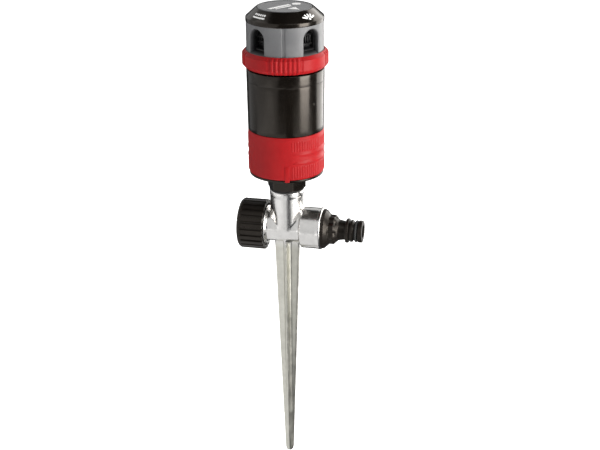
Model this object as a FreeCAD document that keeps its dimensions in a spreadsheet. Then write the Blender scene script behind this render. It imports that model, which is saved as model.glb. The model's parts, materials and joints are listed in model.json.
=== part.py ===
import FreeCAD, Part
import Sketcher
import math
import os
import re

# A gear-driven lawn sprinkler head on a cast ground spike with a through tee.
# Millimetres. The origin is on the head's vertical axis at the ground line, where the
# tee's underside meets the soil. +Z is up the head, +X runs along the tee to the hose
# adapter and -X to the end cap.

SIZES = {
    # cast spike with tee
    "tee_height": 11.5,
    "tube_radius": 11.3,
    "waterway_radius": 8.0,
    "riser_radius": 11.9,
    "riser_rim_radius": 12.2,
    "riser_rim_low": 36.8,
    "riser_top": 40.4,
    "head_thread_radius": 10.48,
    "head_thread_depth": 11.0,
    "inlet_socket_radius": 14.75,
    "inlet_socket_start": 11.6,
    "inlet_socket_end": 26.4,
    "inlet_bead_radius": 15.05,
    "inlet_bead_width": 1.8,
    "hose_thread_radius": 13.2,
    "hose_thread_depth": 12.0,
    "thread_pitch": 1.814,
    "thread_height": 0.9,
    "outlet_flange_radius": 14.2,
    "outlet_flange_start": 13.6,
    "outlet_flange_width": 1.7,
    "outlet_thread_length": 11.5,
    "spike_length": 175.5,
    "spike_width": 18.5,
    "spike_rib_width": 15.5,
    "spike_tip_width": 6.3,
    "spike_web": 3.0,
    "spike_point": 3.0,
    "spike_root": 5.0,
    # hose adapter
    "adapter_flange_radius": 14.3,
    "adapter_grip_radius": 10.5,
    "adapter_neck_radius": 6.7,
    "lock_ring_radius": 8.75,
    "nose_radius": 7.9,
    "nose_end": 55.2,
    "nose_bore_radius": 4.6,
    "nose_seal_radius": 7.88,
    "nose_seal_thickness": 1.8,
    # end cap
    "end_cap_radius": 18.0,
    "end_cap_mouth": 14.7,
    "end_cap_end": 33.5,
    "end_cap_bore_radius": 13.55,
    "end_cap_mouth_radius": 15.2,
    "end_cap_mouth_depth": 1.9,
    "end_cap_floor": 30.4,
    "end_cap_edge": 1.6,
    "end_cap_grooves": 24,
    "end_cap_groove_width": 1.1,
    "end_cap_groove_depth": 0.8,
    "end_cap_groove_start": 2.6,
    # coupling under the head
    "head_washer_radius": 12.3,
    "head_washer_top": 41.5,
    "hex_across_flats": 24.2,
    "hex_top": 53.5,
    "stub_radius": 10.3,
    "spigot_radius": 9.6,
    "spigot_top": 60.0,
    "coupling_bore_radius": 7.6,
    "filter_slot_width": 3.6,
    "filter_slot_height": 1.6,
    "filter_slot_step": 3.6,
    # head casing
    "base_radius": 26.0,
    "base_edge": 0.4,
    "base_band_top": 55.1,
    "base_floor_top": 57.5,
    "base_wall_radius": 24.0,
    "base_bore_radius": 22.0,
    "base_top": 90.0,
    "base_seal_radius": 24.03,
    "base_seal_thickness": 1.3,
    "hub_radius": 12.4,
    "shell_low": 86.3,
    "shell_top": 128.8,
    "shell_low_radius": 26.4,
    "shell_top_radius": 26.8,
    "shell_bore_radius": 24.15,
    "shell_deck_low": 124.8,
    "shell_seam_height": 120.8,
    "neck_radius": 14.8,
    "neck_bore_radius": 13.2,
    "neck_top": 134.0,
    # flow control collar and throttle
    "collar_low": 55.4,
    "collar_top": 86.0,
    "collar_radius": 26.65,
    "collar_bore_radius": 24.4,
    "pointer_angle": -75.7,
    "pointer_width": 4.0,
    "pointer_low": 54.0,
    "pointer_top": 66.0,
    "pointer_radius": 27.3,
    "throttle_low": 58.0,
    "throttle_top": 65.6,
    "throttle_radius": 21.75,
    "throttle_web_low": 63.2,
    "throttle_hole_radius": 13.2,
    "throttle_travel": 90.0,
    "throttle_window_span": 80.0,
    "throttle_seal_radius": 21.88,
    "throttle_seal_thickness": 1.0,
    "drive_lug_low": 60.7,
    "drive_lug_top": 62.7,
    "drive_lug_width": 5.0,
    # stator and turbine
    "stator_low": 66.0,
    "stator_top": 69.0,
    "jet_circle": 16.6,
    "jet_radius": 1.7,
    "reversing_jet_circle": 11.2,
    "turbine_low": 72.0,
    "turbine_top": 80.0,
    "turbine_radius": 14.5,
    "turbine_blades": 18,
    "turbine_hub_radius": 4.0,
    "shaft_radius": 1.0,
    "running_gap": 0.06,
    "free_gap": 0.3,
    # gearbox
    "case_low": 90.0,
    "case_floor_top": 92.5,
    "case_radius": 20.2,
    "case_bore_radius": 18.9,
    "case_top": 118.0,
    "cover_top": 121.0,
    "case_port_radius": 1.5,
    "case_port_circle": 22.0,
    "gear_module": 0.5,
    "pinion_teeth": 10,
    "wheel_teeth": 30,
    "gear_backlash": 0.22,
    "gear_face": 2.6,
    "gear_step": 3.4,
    "bush_radius": 3.0,
    "screw_radius": 0.95,
    "screw_hole_radius": 1.1,
    "screw_thread_radius": 1.0,
    "screw_head_radius": 1.9,
    "screw_circle": 15.9,
    "screw_boss_radius": 2.4,
    "output_shaft_radius": 4.5,
    # rotating core
    "core_radius": 12.0,
    "core_bore_radius": 9.5,
    "core_low": 122.0,
    "core_flange_radius": 24.6,
    "core_flange_low": 136.0,
    "core_flange_top": 139.0,
    "core_cavity_top": 156.0,
    "core_top": 162.0,
    "disc_plug_side": 8.0,
    "drive_dog_side": 6.0,
    "core_hub_radius": 5.6,
    "core_arm_start": 4.6,
    "core_arm_width": 2.4,
    "outlet_angle": -33.8,
    "nozzle_height": 151.3,
    "outlet_port_radius": 3.2,
    "disc_stem_radius": 5.6,
    "disc_radius": 18.6,
    "disc_low": 168.6,
    "disc_top": 170.6,
    # arc ring
    "ring_low": 129.5,
    "ring_chamfer_low": 131.8,
    "ring_chamfer_top": 139.9,
    "ring_top": 141.9,
    "ring_radius": 29.2,
    "ring_edge_radius": 27.1,
    "ring_lip_radius": 19.5,
    "ring_lip_depth": 2.6,
    "ring_skirt_radius": 25.2,
    "ring_rib_height": 0.3,
    "ring_rib_width": 1.5,
    "ring_rib_step": 6.0,
    "ring_rib_angle": 13.0,
    "ring_rib_groups": 4,
    "ring_ribs_in_group": 7,
    # turret
    "turret_radius": 26.4,
    "turret_bore_radius": 24.6,
    "turret_low": 139.9,
    "turret_floor_top": 141.6,
    "turret_top": 161.4,
    "turret_hole_radius": 12.5,
    "window_width": 13.2,
    "window_low": 142.0,
    "window_top": 159.1,
    "window_wall": 1.3,
    "tunnel_start": 17.4,
    "nozzle_face": 19.4,
    "nozzle_back": 13.2,
    "nozzle_bore_radius": 2.6,
    "nozzle_skin": 1.6,
    "jet_hole_radius": 2.1,
    "flat_hole_radius": 0.6,
    "flat_hole_step": 1.7,
    "mist_hole_radius": 0.4,
    "mist_hole_step": 1.3,
    "fan_slot_width": 4.6,
    "fan_slot_height": 1.2,
    "seal_outer_radius": 4.3,
    "seal_inner_radius": 2.9,
    "window_count": 4,
    "groove_angle": 11.2,
    "groove_width": 2.4,
    "groove_depth": 0.6,
    # turret cap
    "cap_radius": 26.6,
    "cap_band_top": 164.1,
    "cap_hole_radius": 18.9,
    "cap_ledge_radius": 15.6,
    "cap_inner_radius": 23.0,
    # reversing trip
    "trip_circle": 17.2,
    "trip_shaft_radius": 1.2,
    "trip_hub_radius": 2.2,
    "trip_finger_length": 5.6,
    "trip_finger_width": 2.0,
    "vane_length": 8.0,
    "vane_width": 3.8,
    "trip_throw": 28.0,
    "trip_low": 69.3,
    "trip_paddle_low": 129.1,
    "trip_paddle_top": 130.1,
    "tab_low": 130.5,
    "tab_width": 2.6,
    "core_tab_angle": 90.0,
    "ring_tab_angle": 75.0,
}

doc = FreeCAD.newDocument("sprinkler")
dims = doc.addObject("Spreadsheet::Sheet", "dims")
for row, (alias, value) in enumerate(SIZES.items(), start=1):
    dims.set("A%d" % row, alias)
    dims.set("B%d" % row, str(value))
    dims.setAlias("B%d" % row, alias)
doc.recompute()

PARTS = []
FUNCTIONS = {"sin", "cos", "tan", "sqrt", "deg"}
AXIS_Z = FreeCAD.Vector(0, 0, 1)


def size(alias):
    """The value of one cell of the sheet."""
    return float(dims.get(alias))


def bound(text):
    """An expression in which each cell's alias is written out in full."""
    def expand(match):
        word = match.group(0)
        return word if word in FUNCTIONS else "dims." + word
    return re.sub(r"[a-z][a-z_]+", expand, str(text))


def part(node, label):
    """Name a finished sub-part; the label is its file's name."""
    node.Label = label
    PARTS.append(node)
    return node


# ---- turned pieces --------------------------------------------------------------------

def origin_feature(body, role):
    return next(item for item in body.Origin.OriginFeatures if item.Role == role)


def add_outline(sketch, outline):
    """A closed outline whose every corner is bound to the sheet."""
    count = len(outline)
    corners = [FreeCAD.Vector(10 + 5 * math.cos(k), 10 + 5 * math.sin(k), 0)
               for k in (2 * math.pi * i / count for i in range(count))]
    for i in range(count):
        sketch.addGeometry(Part.LineSegment(corners[i], corners[(i + 1) % count]), False)
    for i in range(count):
        sketch.addConstraint(Sketcher.Constraint("Coincident", i, 2, (i + 1) % count, 1))
    for i, (across, along) in enumerate(outline):
        for kind, text, axis in (("DistanceX", across, -2), ("DistanceY", along, -1)):
            if text == "0":
                sketch.addConstraint(Sketcher.Constraint("PointOnObject", i, 1, axis))
                continue
            index = sketch.addConstraint(Sketcher.Constraint(kind, -1, 1, i, 1, 1.0))
            sketch.setExpression("Constraints[%d]" % index, bound(text))


def turned(label, outline, about="Z"):
    """A body of revolution: corners are (radius, height), or (distance, radius) about X."""
    body = doc.addObject("PartDesign::Body", label + "_body")
    sketch = body.newObject("Sketcher::SketchObject", label + "_profile")
    sketch.AttachmentSupport = [(origin_feature(body, "XZ_Plane"), "")]
    sketch.MapMode = "FlatFace"
    add_outline(sketch, outline)
    turn = body.newObject("PartDesign::Revolution", label + "_turn")
    turn.Profile = sketch
    turn.ReferenceAxis = (sketch, ["V_Axis" if about == "Z" else "H_Axis"])
    turn.Angle = 360
    if about == "X":
        body.setExpression(".Placement.Base.z", bound("tee_height"))
    return body


def ring_outline(r_in, r_out, low, high):
    return [(r_in, low), (r_out, low), (r_out, high), (r_in, high)]


def padded(label, outline, plane, thickness):
    """A plate of an outline drawn on an origin plane, centred on that plane."""
    body = doc.addObject("PartDesign::Body", label + "_body")
    sketch = body.newObject("Sketcher::SketchObject", label + "_profile")
    sketch.AttachmentSupport = [(origin_feature(body, plane), "")]
    sketch.MapMode = "FlatFace"
    add_outline(sketch, outline)
    pad = body.newObject("PartDesign::Pad", label + "_pad")
    pad.Profile = sketch
    pad.Midplane = True
    pad.setExpression("Length", bound(thickness))
    return body


# ---- primitives placed on a polar grid ------------------------------------------------

def place(node, radial, side, height, angle):
    """Put a node at a polar place: radial out, side to the left of it, at an angle."""
    node.Placement = FreeCAD.Placement(FreeCAD.Vector(), FreeCAD.Rotation(AXIS_Z, angle))
    turn = "%s * 1 deg" % angle
    radial, side = bound(radial), bound(side)
    words = (radial, turn, side, turn)
    node.setExpression(".Placement.Base.x", "(%s) * cos(%s) - (%s) * sin(%s)" % words)
    node.setExpression(".Placement.Base.y", "(%s) * sin(%s) + (%s) * cos(%s)" % words)
    node.setExpression(".Placement.Base.z", bound(height))
    return node


def spoke(label, r_in, r_out, width, low, high, angle=0.0):
    """A square bar that runs outward along a radius."""
    box = doc.addObject("Part::Box", label)
    box.setExpression("Length", bound("(%s) - (%s)" % (r_out, r_in)))
    box.setExpression("Width", bound(width))
    box.setExpression("Height", bound("(%s) - (%s)" % (high, low)))
    return place(box, r_in, "-(%s) / 2" % width, low, angle)


def square_bar(label, side, low, high):
    """An upright square bar on the vertical axis."""
    return spoke(label, "-(%s) / 2" % side, "(%s) / 2" % side, side, low, high)


def rod(label, radius, low, high, out="0", angle=0.0):
    """An upright cylinder at a polar place."""
    cylinder = doc.addObject("Part::Cylinder", label)
    cylinder.setExpression("Radius", bound(radius))
    cylinder.setExpression("Height", bound("(%s) - (%s)" % (high, low)))
    return place(cylinder, out, "0", low, angle)


def radial_rod(label, radius, r_in, r_out, height, angle):
    """A cylinder lying along a radius."""
    cylinder = rod(label, radius, r_in, r_out, r_in, angle)
    upright = FreeCAD.Rotation(AXIS_Z, angle)
    lying = FreeCAD.Rotation(FreeCAD.Vector(0, 1, 0), 90)
    cylinder.Placement.Rotation = upright.multiply(lying)
    cylinder.setExpression(".Placement.Base.z", bound(height))
    return cylinder


def trip_hole(label, low, high):
    """A running hole for the reversing trip's shaft, a millimetre longer at both ends."""
    return rod(label, "trip_shaft_radius + running_gap", low + " - 1", high + " + 1", "-trip_circle")


def seal_ring(label, outer, thickness, height):
    """A round-section ring about the vertical axis, its middle at a height."""
    ring = doc.addObject("Part::Torus", label)
    ring.setExpression("Radius1", bound("%s - %s / 2" % (outer, thickness)))
    ring.setExpression("Radius2", bound("%s / 2" % thickness))
    ring.setExpression(".Placement.Base.z", bound(height))
    return ring


def tee_rod(label, radius, start, end):
    """A cylinder on the tee's own axis."""
    cylinder = doc.addObject("Part::Cylinder", label)
    cylinder.setExpression("Radius", bound(radius))
    cylinder.setExpression("Height", bound("(%s) - (%s)" % (end, start)))
    cylinder.Placement.Rotation = FreeCAD.Rotation(FreeCAD.Vector(0, 1, 0), 90)
    cylinder.setExpression(".Placement.Base.x", bound(start))
    cylinder.setExpression(".Placement.Base.z", bound("tee_height"))
    return cylinder


def fuse(label, nodes):
    union = doc.addObject("Part::MultiFuse", label)
    union.Shapes = nodes
    return union


def cut(label, base, tools):
    if len(tools) > 1:
        tools = [fuse(label + "_tools", tools)]
    result = doc.addObject("Part::Cut", label)
    result.Base = base
    result.Tool = tools[0]
    return result


def common(label, first, second):
    overlap = doc.addObject("Part::Common", label)
    overlap.Base = first
    overlap.Tool = second
    return overlap


def group(label, nodes):
    """Identical pieces kept together as separate solids."""
    compound = doc.addObject("Part::Compound", label)
    compound.Links = nodes
    return compound


# ---- spike, tee, adapter and end cap --------------------------------------------------

def spike_blade(label, plane, width):
    """One tapered blade of the cross-shaped spike, blunt at its point."""
    side, tip, low = "(%s) / 2" % width, "spike_tip_width / 2", "-spike_length"
    outline = [("-(%s)" % side, "spike_root"), ("-(%s)" % side, "0"),
               ("-" + tip, low + " + spike_point"), ("-spike_tip_width / 6", low),
               ("spike_tip_width / 6", low), (tip, low + " + spike_point"),
               (side, "0"), (side, "spike_root")]
    return padded(label, outline, plane, "spike_web")


def thread_outline(end, pitch_count):
    """Outside corners of the outlet's thread, drawn as rings of one pitch, end first."""
    crest, root = "hose_thread_radius", "hose_thread_radius - thread_height"
    corners = []
    for turn in range(pitch_count):
        start = "%s + %g * thread_pitch" % (end, turn)
        corners += [(start + " + 0.1 * thread_pitch", root), (start + " + 0.4 * thread_pitch", crest),
                    (start + " + 0.6 * thread_pitch", crest), (start + " + 0.9 * thread_pitch", root)]
    return corners


def build_spike_casting():
    end = "-(outlet_flange_start + outlet_flange_width + outlet_thread_length)"
    flange = "-(outlet_flange_start + outlet_flange_width)"
    bead = "inlet_socket_end - inlet_bead_width"
    tube = turned("tee_outside", [(end, "0")] + [(end, "hose_thread_radius - thread_height")]
                  + thread_outline(end, 6)
                  + [(flange, "hose_thread_radius - thread_height"), (flange, "outlet_flange_radius"),
                     ("-outlet_flange_start", "outlet_flange_radius"),
                     ("-outlet_flange_start + 0.6", "tube_radius"),
                     ("inlet_socket_start - 1.2", "tube_radius"),
                     ("inlet_socket_start", "inlet_socket_radius"),
                     (bead, "inlet_socket_radius"), (bead + " + 0.5", "inlet_bead_radius"),
                     ("inlet_socket_end", "inlet_bead_radius"), ("inlet_socket_end", "0")], about="X")
    riser = turned("riser_outside", [("0", "tee_height"), ("riser_radius", "tee_height"),
                                     ("riser_radius", "riser_rim_low - 0.6"),
                                     ("riser_rim_radius", "riser_rim_low"),
                                     ("riser_rim_radius", "riser_top"), ("0", "riser_top")])
    blades = [spike_blade("spike_flange", "XZ_Plane", "spike_width"),
              spike_blade("spike_rib", "YZ_Plane", "spike_rib_width")]
    solid = fuse("casting_outside", [tube, riser] + blades)
    bores = [tee_rod("run_bore", "waterway_radius", end + " - 1", "inlet_socket_end"),
             tee_rod("inlet_socket_bore", "hose_thread_radius + 0.1",
                     "inlet_socket_end - hose_thread_depth", "inlet_socket_end + 1"),
             rod("riser_bore", "waterway_radius", "tee_height", "riser_top"),
             rod("head_socket_bore", "head_thread_radius", "riser_top - head_thread_depth",
                 "riser_top + 1")]
    part(cut("spike_casting", solid, bores), "spike_casting")


def build_hose_adapter():
    start = "inlet_socket_end - hose_thread_depth + 2.4"
    grip_start, taper_end = "inlet_socket_end + 5.4", "inlet_socket_end + 11.8"
    ring, seal = "inlet_socket_end + 16.9", "nose_end - 5.6"
    seal_floor = "nose_seal_radius - nose_seal_thickness - 0.03"
    outline = [(start, "nose_bore_radius + 2.6"), (start, "hose_thread_radius - 0.1"),
               ("inlet_socket_end", "hose_thread_radius - 0.1"),
               ("inlet_socket_end", "adapter_flange_radius"),
               ("inlet_socket_end + 1.8", "adapter_flange_radius - 0.5"),
               (grip_start, "adapter_grip_radius"), (grip_start + " + 3", "adapter_grip_radius - 0.2"),
               (taper_end, "adapter_neck_radius + 0.3"), (ring, "adapter_neck_radius"),
               (ring, "lock_ring_radius - 0.4"), (ring + " + 0.4", "lock_ring_radius"),
               (ring + " + 1.7", "lock_ring_radius"), (ring + " + 2.1", "adapter_neck_radius + 0.1"),
               (ring + " + 2.9", "adapter_neck_radius + 0.1"), (ring + " + 3.3", "nose_radius"),
               (seal, "nose_radius"), (seal, seal_floor), (seal + " + 2", seal_floor),
               (seal + " + 2", "nose_radius"),
               ("nose_end - 0.6", "nose_radius"), ("nose_end", "nose_radius - 0.6"),
               ("nose_end", "nose_bore_radius"), ("inlet_socket_end + 4", "nose_bore_radius")]
    body = turned("adapter", outline, about="X")
    part(body, "hose_adapter")
    bottom = "inlet_socket_end - hose_thread_depth"
    washer = turned("adapter_washer", [
        (bottom, "nose_bore_radius + 4"), (start, "nose_bore_radius + 4"),
        (start, "hose_thread_radius - 0.2"), (bottom, "hose_thread_radius - 0.2")], about="X")
    part(washer, "adapter_washer")
    nose_seal = seal_ring("adapter_seal_ring", "nose_seal_radius", "nose_seal_thickness",
                          "tee_height")
    nose_seal.Placement.Rotation = FreeCAD.Rotation(FreeCAD.Vector(0, 1, 0), 90)
    nose_seal.setExpression(".Placement.Base.x", bound(seal + " + 1"))
    part(nose_seal, "adapter_o_ring")


def build_end_cap():
    mouth, end = "-end_cap_mouth", "-end_cap_end"
    shell = turned("end_cap_shell", [
        (end, "0"), (end, "end_cap_radius - end_cap_edge"), (end + " + end_cap_edge", "end_cap_radius"),
        (mouth, "end_cap_radius"), (mouth, "end_cap_mouth_radius"),
        (mouth + " - end_cap_mouth_depth", "end_cap_mouth_radius"),
        (mouth + " - end_cap_mouth_depth", "end_cap_bore_radius"),
        ("-end_cap_floor", "end_cap_bore_radius"), ("-end_cap_floor", "0")], about="X")
    grooves = []
    count = int(size("end_cap_grooves"))
    for k in range(count):
        angle = 360.0 * (k + 0.5) / count
        groove = doc.addObject("Part::Box", "end_cap_groove_%d" % k)
        groove.setExpression("Length", bound("end_cap_end - end_cap_groove_start - end_cap_mouth + 1"))
        groove.setExpression("Width", bound("end_cap_groove_width"))
        groove.setExpression("Height", bound("end_cap_groove_depth + 1"))
        groove.Placement.Rotation = FreeCAD.Rotation(FreeCAD.Vector(1, 0, 0), angle)
        reach = bound("end_cap_radius - end_cap_groove_depth")
        half = bound("end_cap_groove_width / 2")
        turn = "%g * 1 deg" % angle
        groove.setExpression(".Placement.Base.x", bound("end_cap_groove_start - end_cap_end"))
        groove.setExpression(".Placement.Base.y",
                             "-(%s) * sin(%s) - %s * cos(%s)" % (reach, turn, half, turn))
        groove.setExpression(".Placement.Base.z", "%s + (%s) * cos(%s) - %s * sin(%s)"
                             % (bound("tee_height"), reach, turn, half, turn))
        grooves.append(groove)
    part(cut("end_cap_grooved", shell, grooves), "end_cap")
    outlet_end = "-(outlet_flange_start + outlet_flange_width + outlet_thread_length)"
    washer = turned("cap_washer", [(outlet_end + " - 0.1", "waterway_radius"),
                                   (outlet_end + " - 0.1", "hose_thread_radius - 0.2"),
                                   ("-end_cap_floor + 0.1", "hose_thread_radius - 0.2"),
                                   ("-end_cap_floor + 0.1", "waterway_radius")], about="X")
    part(washer, "cap_washer")


# ---- coupling and head casing ---------------------------------------------------------

def build_coupling():
    washer = turned("head_washer", ring_outline("stub_radius + 0.2", "head_washer_radius",
                                                "riser_top", "head_washer_top"))
    part(washer, "head_washer")
    hexagon = doc.addObject("Part::Prism", "coupling_hex")
    hexagon.Polygon = 6
    hexagon.setExpression("Circumradius", bound("hex_across_flats / 2 / cos(30 deg)"))
    hexagon.setExpression("Height", bound("hex_top - head_washer_top"))
    hexagon.setExpression(".Placement.Base.z", bound("head_washer_top"))
    corner = "hex_across_flats / 2 + 0.1"
    chamfers = turned("coupling_chamfer", [
        ("0", "head_washer_top"), (corner, "head_washer_top"),
        (corner + " + 1.9", "head_washer_top + 1.1"), (corner + " + 1.9", "hex_top - 1.1"),
        (corner, "hex_top"), ("0", "hex_top")])
    nut = common("coupling_nut", hexagon, chamfers)
    stem_low = "riser_top - head_thread_depth + 0.5"
    stem = turned("coupling_stem", [
        ("0", stem_low), ("stub_radius", stem_low),
        ("stub_radius", "head_washer_top + 1"), ("spigot_radius", "head_washer_top + 1"),
        ("spigot_radius", "spigot_top"), ("0", "spigot_top")])
    bore = rod("coupling_bore", "coupling_bore_radius", "riser_top - head_thread_depth", "spigot_top + 1")
    part(cut("coupling", fuse("coupling_outside", [nut, stem]), [bore]), "inlet_coupling")


def build_inlet_filter():
    """A thimble strainer that hangs in the coupling's bore by its top flange."""
    flange_low, floor = "spigot_top", "head_washer_top + 1"
    cup = turned("filter_cup", [
        ("0", floor), ("coupling_bore_radius - 1.6", floor),
        ("coupling_bore_radius - 0.4", flange_low), ("spigot_radius", flange_low),
        ("spigot_radius", flange_low + " + 0.8"), ("coupling_bore_radius - 1.4", flange_low + " + 0.8"),
        ("coupling_bore_radius - 2.6", floor + " + 1"), ("0", floor + " + 1")])
    slots = []
    for level in range(4):
        for k in range(4):
            low = "%s + 2 + %d * filter_slot_step" % (floor, level)
            slots.append(spoke("filter_slot_%d_%d" % (level, k), "2", "coupling_bore_radius + 1",
                               "filter_slot_width", low, low + " + filter_slot_height",
                               90.0 * k + 45.0 * (level % 2)))
    part(cut("filter_slotted", cup, slots), "inlet_filter")


def build_base_housing():
    groove = "base_top - 3"
    shell = turned("base_shell", [
        ("spigot_radius + 0.1", "hex_top"), ("base_radius - base_edge", "hex_top"),
        ("base_radius", "hex_top + base_edge"),
        ("base_radius", "base_band_top"), ("base_wall_radius", "base_band_top"),
        ("base_wall_radius", groove), ("base_wall_radius - 1.3", groove),
        ("base_wall_radius - 1.3", groove + " + 1.5"), ("base_wall_radius", groove + " + 1.5"),
        ("base_wall_radius", "base_top"), ("base_bore_radius", "base_top"),
        ("base_bore_radius", "base_floor_top"), ("hub_radius", "base_floor_top"),
        ("hub_radius", "spigot_top"), ("spigot_radius + 0.1", "spigot_top")])
    blank = turned("lug_slot_blank", ring_outline("base_bore_radius - 1", "base_wall_radius + 1",
                                                  "drive_lug_low - 0.4", "drive_lug_top + 0.4"))
    sector = doc.addObject("Part::Cylinder", "lug_slot_sector")
    sector.setExpression("Radius", bound("base_radius"))
    sector.setExpression("Height", bound("base_top"))
    sector.setExpression("Angle", bound("throttle_travel + 18"))
    sector.Placement.Rotation = FreeCAD.Rotation(AXIS_Z, size("pointer_angle") - 9)
    slot = common("lug_slot", blank, sector)
    part(cut("base_slotted", shell, [slot]), "base_housing")
    part(seal_ring("base_seal_ring", "base_seal_radius", "base_seal_thickness", groove + " + 0.75"),
         "base_o_ring")


def build_body_shell():
    seam, slope = "shell_seam_height", "(shell_top_radius - shell_low_radius) / (shell_top - shell_low)"
    at_seam = "shell_low_radius + %s * (%s - shell_low)" % (slope, seam)
    outside = turned("shell_wall", [
        ("shell_bore_radius", "shell_low"), ("shell_low_radius", "shell_low"), (at_seam, seam),
        (at_seam + " - 0.25", seam + " + 0.25"), (at_seam, seam + " + 0.5"),
        ("shell_top_radius", "shell_top - 0.4"), ("shell_top_radius - 0.4", "shell_top"),
        ("neck_radius", "shell_top"), ("neck_radius", "neck_top"), ("neck_bore_radius", "neck_top"),
        ("neck_bore_radius", "shell_deck_low"), ("shell_bore_radius", "shell_deck_low")])
    part(cut("shell_bored", outside, [trip_hole("shell_trip_hole", "shell_deck_low", "shell_top")]),
         "body_shell")


def build_core_bearings():
    shaft = "core_radius + running_gap"
    bearing = turned("core_bearing", [
        (shaft, "shell_top - 0.8"), ("neck_bore_radius", "shell_top - 0.8"),
        ("neck_bore_radius", "neck_top"), ("neck_radius + 0.6", "neck_top"),
        ("neck_radius + 0.6", "neck_top + 0.9"), (shaft, "neck_top + 0.9")])
    part(bearing, "core_bearing")
    seal = turned("core_seal", ring_outline(shaft, "neck_bore_radius", "shell_deck_low + 0.3",
                                            "shell_top - 0.8"))
    part(seal, "core_seal")
    thrust = turned("thrust_washer", ring_outline("core_radius + 0.3", "neck_radius + 0.4",
                                                  "neck_top + 0.9", "neck_top + 1.7"))
    part(thrust, "thrust_washer")


# ---- flow control ---------------------------------------------------------------------

def build_flow_collar():
    shell = turned("collar_shell", [
        ("collar_bore_radius", "collar_low"), ("collar_radius - 0.5", "collar_low"),
        ("collar_radius", "collar_low + 0.9"), ("collar_radius", "collar_top - 0.3"),
        ("collar_radius - 0.3", "collar_top"), ("collar_bore_radius", "collar_top")])
    pointer = spoke("collar_pointer", "base_radius + 0.3", "pointer_radius", "pointer_width",
                    "pointer_low", "pointer_top", size("pointer_angle"))
    notch = spoke("collar_lug_notch", "base_wall_radius", "collar_bore_radius + 1", "drive_lug_width",
                  "drive_lug_low", "drive_lug_top", size("pointer_angle"))
    part(fuse("collar_pointed", [cut("collar_notched", shell, [notch]), pointer]), "flow_collar")


def build_throttle():
    sleeve_in = "throttle_radius - 1.8"
    seats = ["throttle_low + 0.6", "throttle_top - 1.7"]
    wall = [("throttle_radius", "throttle_low")]
    for seat in seats:
        wall += [("throttle_radius", seat), ("throttle_radius - 0.9", seat),
                 ("throttle_radius - 0.9", seat + " + 1.1"), ("throttle_radius", seat + " + 1.1")]
    wall += [("throttle_radius", "throttle_top"), ("throttle_hole_radius", "throttle_top"),
             ("throttle_hole_radius", "throttle_web_low"), (sleeve_in, "throttle_web_low"),
             (sleeve_in, "throttle_low")]
    ring = turned("throttle_sleeve", wall)
    windows = []
    for side in (0, 1):
        blank = turned("throttle_window_blank_%d" % side, ring_outline(
            "jet_circle - jet_radius - 0.5", "jet_circle + jet_radius + 0.5",
            "throttle_web_low - 1", "throttle_top + 1"))
        sector = doc.addObject("Part::Cylinder", "throttle_window_sector_%d" % side)
        sector.setExpression("Radius", bound("throttle_radius"))
        sector.setExpression("Height", bound("throttle_top + 2"))
        sector.setExpression("Angle", bound("throttle_window_span"))
        sector.Placement.Rotation = FreeCAD.Rotation(AXIS_Z, 50 + 180 * side)
        windows.append(common("throttle_window_%d" % side, blank, sector))
    lug = spoke("throttle_lug", "throttle_radius - 1.5", "collar_bore_radius + 0.8",
                "drive_lug_width - 0.2", "drive_lug_low + 0.1", "drive_lug_top - 0.1",
                size("pointer_angle"))
    part(fuse("throttle_lugged", [cut("throttle_windowed", ring, windows), lug]), "throttle_ring")
    seals = [seal_ring("throttle_seal_%d" % k, "throttle_seal_radius", "throttle_seal_thickness",
                       seat + " + 0.55") for k, seat in enumerate(seats)]
    part(group("throttle_seals", seals), "throttle_o_rings")


def build_stator():
    plate = turned("stator_blank", [
        ("shaft_radius + running_gap", "stator_low"), ("base_bore_radius - 0.1", "stator_low"),
        ("base_bore_radius - 0.1", "stator_top"), ("4", "stator_top"), ("3", "stator_top + 1.5"),
        ("shaft_radius + running_gap", "stator_top + 1.5")])
    holes = []
    for k, angle in enumerate((62, 90, 118, 242, 270, 298)):
        holes.append(rod("stator_jet_%d" % k, "jet_radius", "stator_low - 1", "stator_top + 1",
                         "jet_circle", angle))
    for k, angle in enumerate((166, 194)):
        holes.append(rod("reversing_jet_%d" % k, "jet_radius", "stator_low - 1", "stator_top + 1",
                         "reversing_jet_circle", angle))
    holes.append(trip_hole("stator_trip_hole", "stator_low", "stator_top"))
    part(cut("stator_bored", plate, holes), "stator_plate")


# ---- turbine and gear train -----------------------------------------------------------

def build_turbine():
    hub = turned("turbine_hub", ring_outline("shaft_radius", "turbine_hub_radius", "turbine_low",
                                             "turbine_top"))
    web = turned("turbine_web", ring_outline("turbine_hub_radius - 0.5", "turbine_radius - 4",
                                             "turbine_low + 3", "turbine_top - 3"))
    blades = []
    count = int(size("turbine_blades"))
    for k in range(count):
        blades.append(spoke("turbine_blade_%d" % k, "turbine_radius - 4.5", "turbine_radius", "0.9",
                            "turbine_low", "turbine_top", 360.0 * k / count))
    part(fuse("turbine", [hub, web] + blades), "turbine_wheel")
    part(rod("turbine_shaft_rod", "shaft_radius", "stator_low + 0.3", "case_top - 7"), "turbine_shaft")


def tooth_flank(teeth, module, thinning):
    """Points on one involute flank, from root to tip, as (radius, half angle of the tooth)."""
    pitch, pressure = teeth * module / 2, math.radians(20)
    base = pitch * math.cos(pressure)
    half_at_pitch = math.pi / (2 * teeth) - thinning / (2 * pitch)
    involute_at_pitch = math.tan(pressure) - pressure
    root, tip = pitch - 1.15 * module, pitch + 0.85 * module
    points = []
    for step in range(5):
        radius = max(root, base) + (tip - max(root, base)) * step / 4
        angle = math.acos(min(1.0, base / radius))
        half = half_at_pitch + involute_at_pitch - (math.tan(angle) - angle)
        points.append((radius, half))
    if root < base:
        points.insert(0, (root, points[0][1]))
    return points


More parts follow.
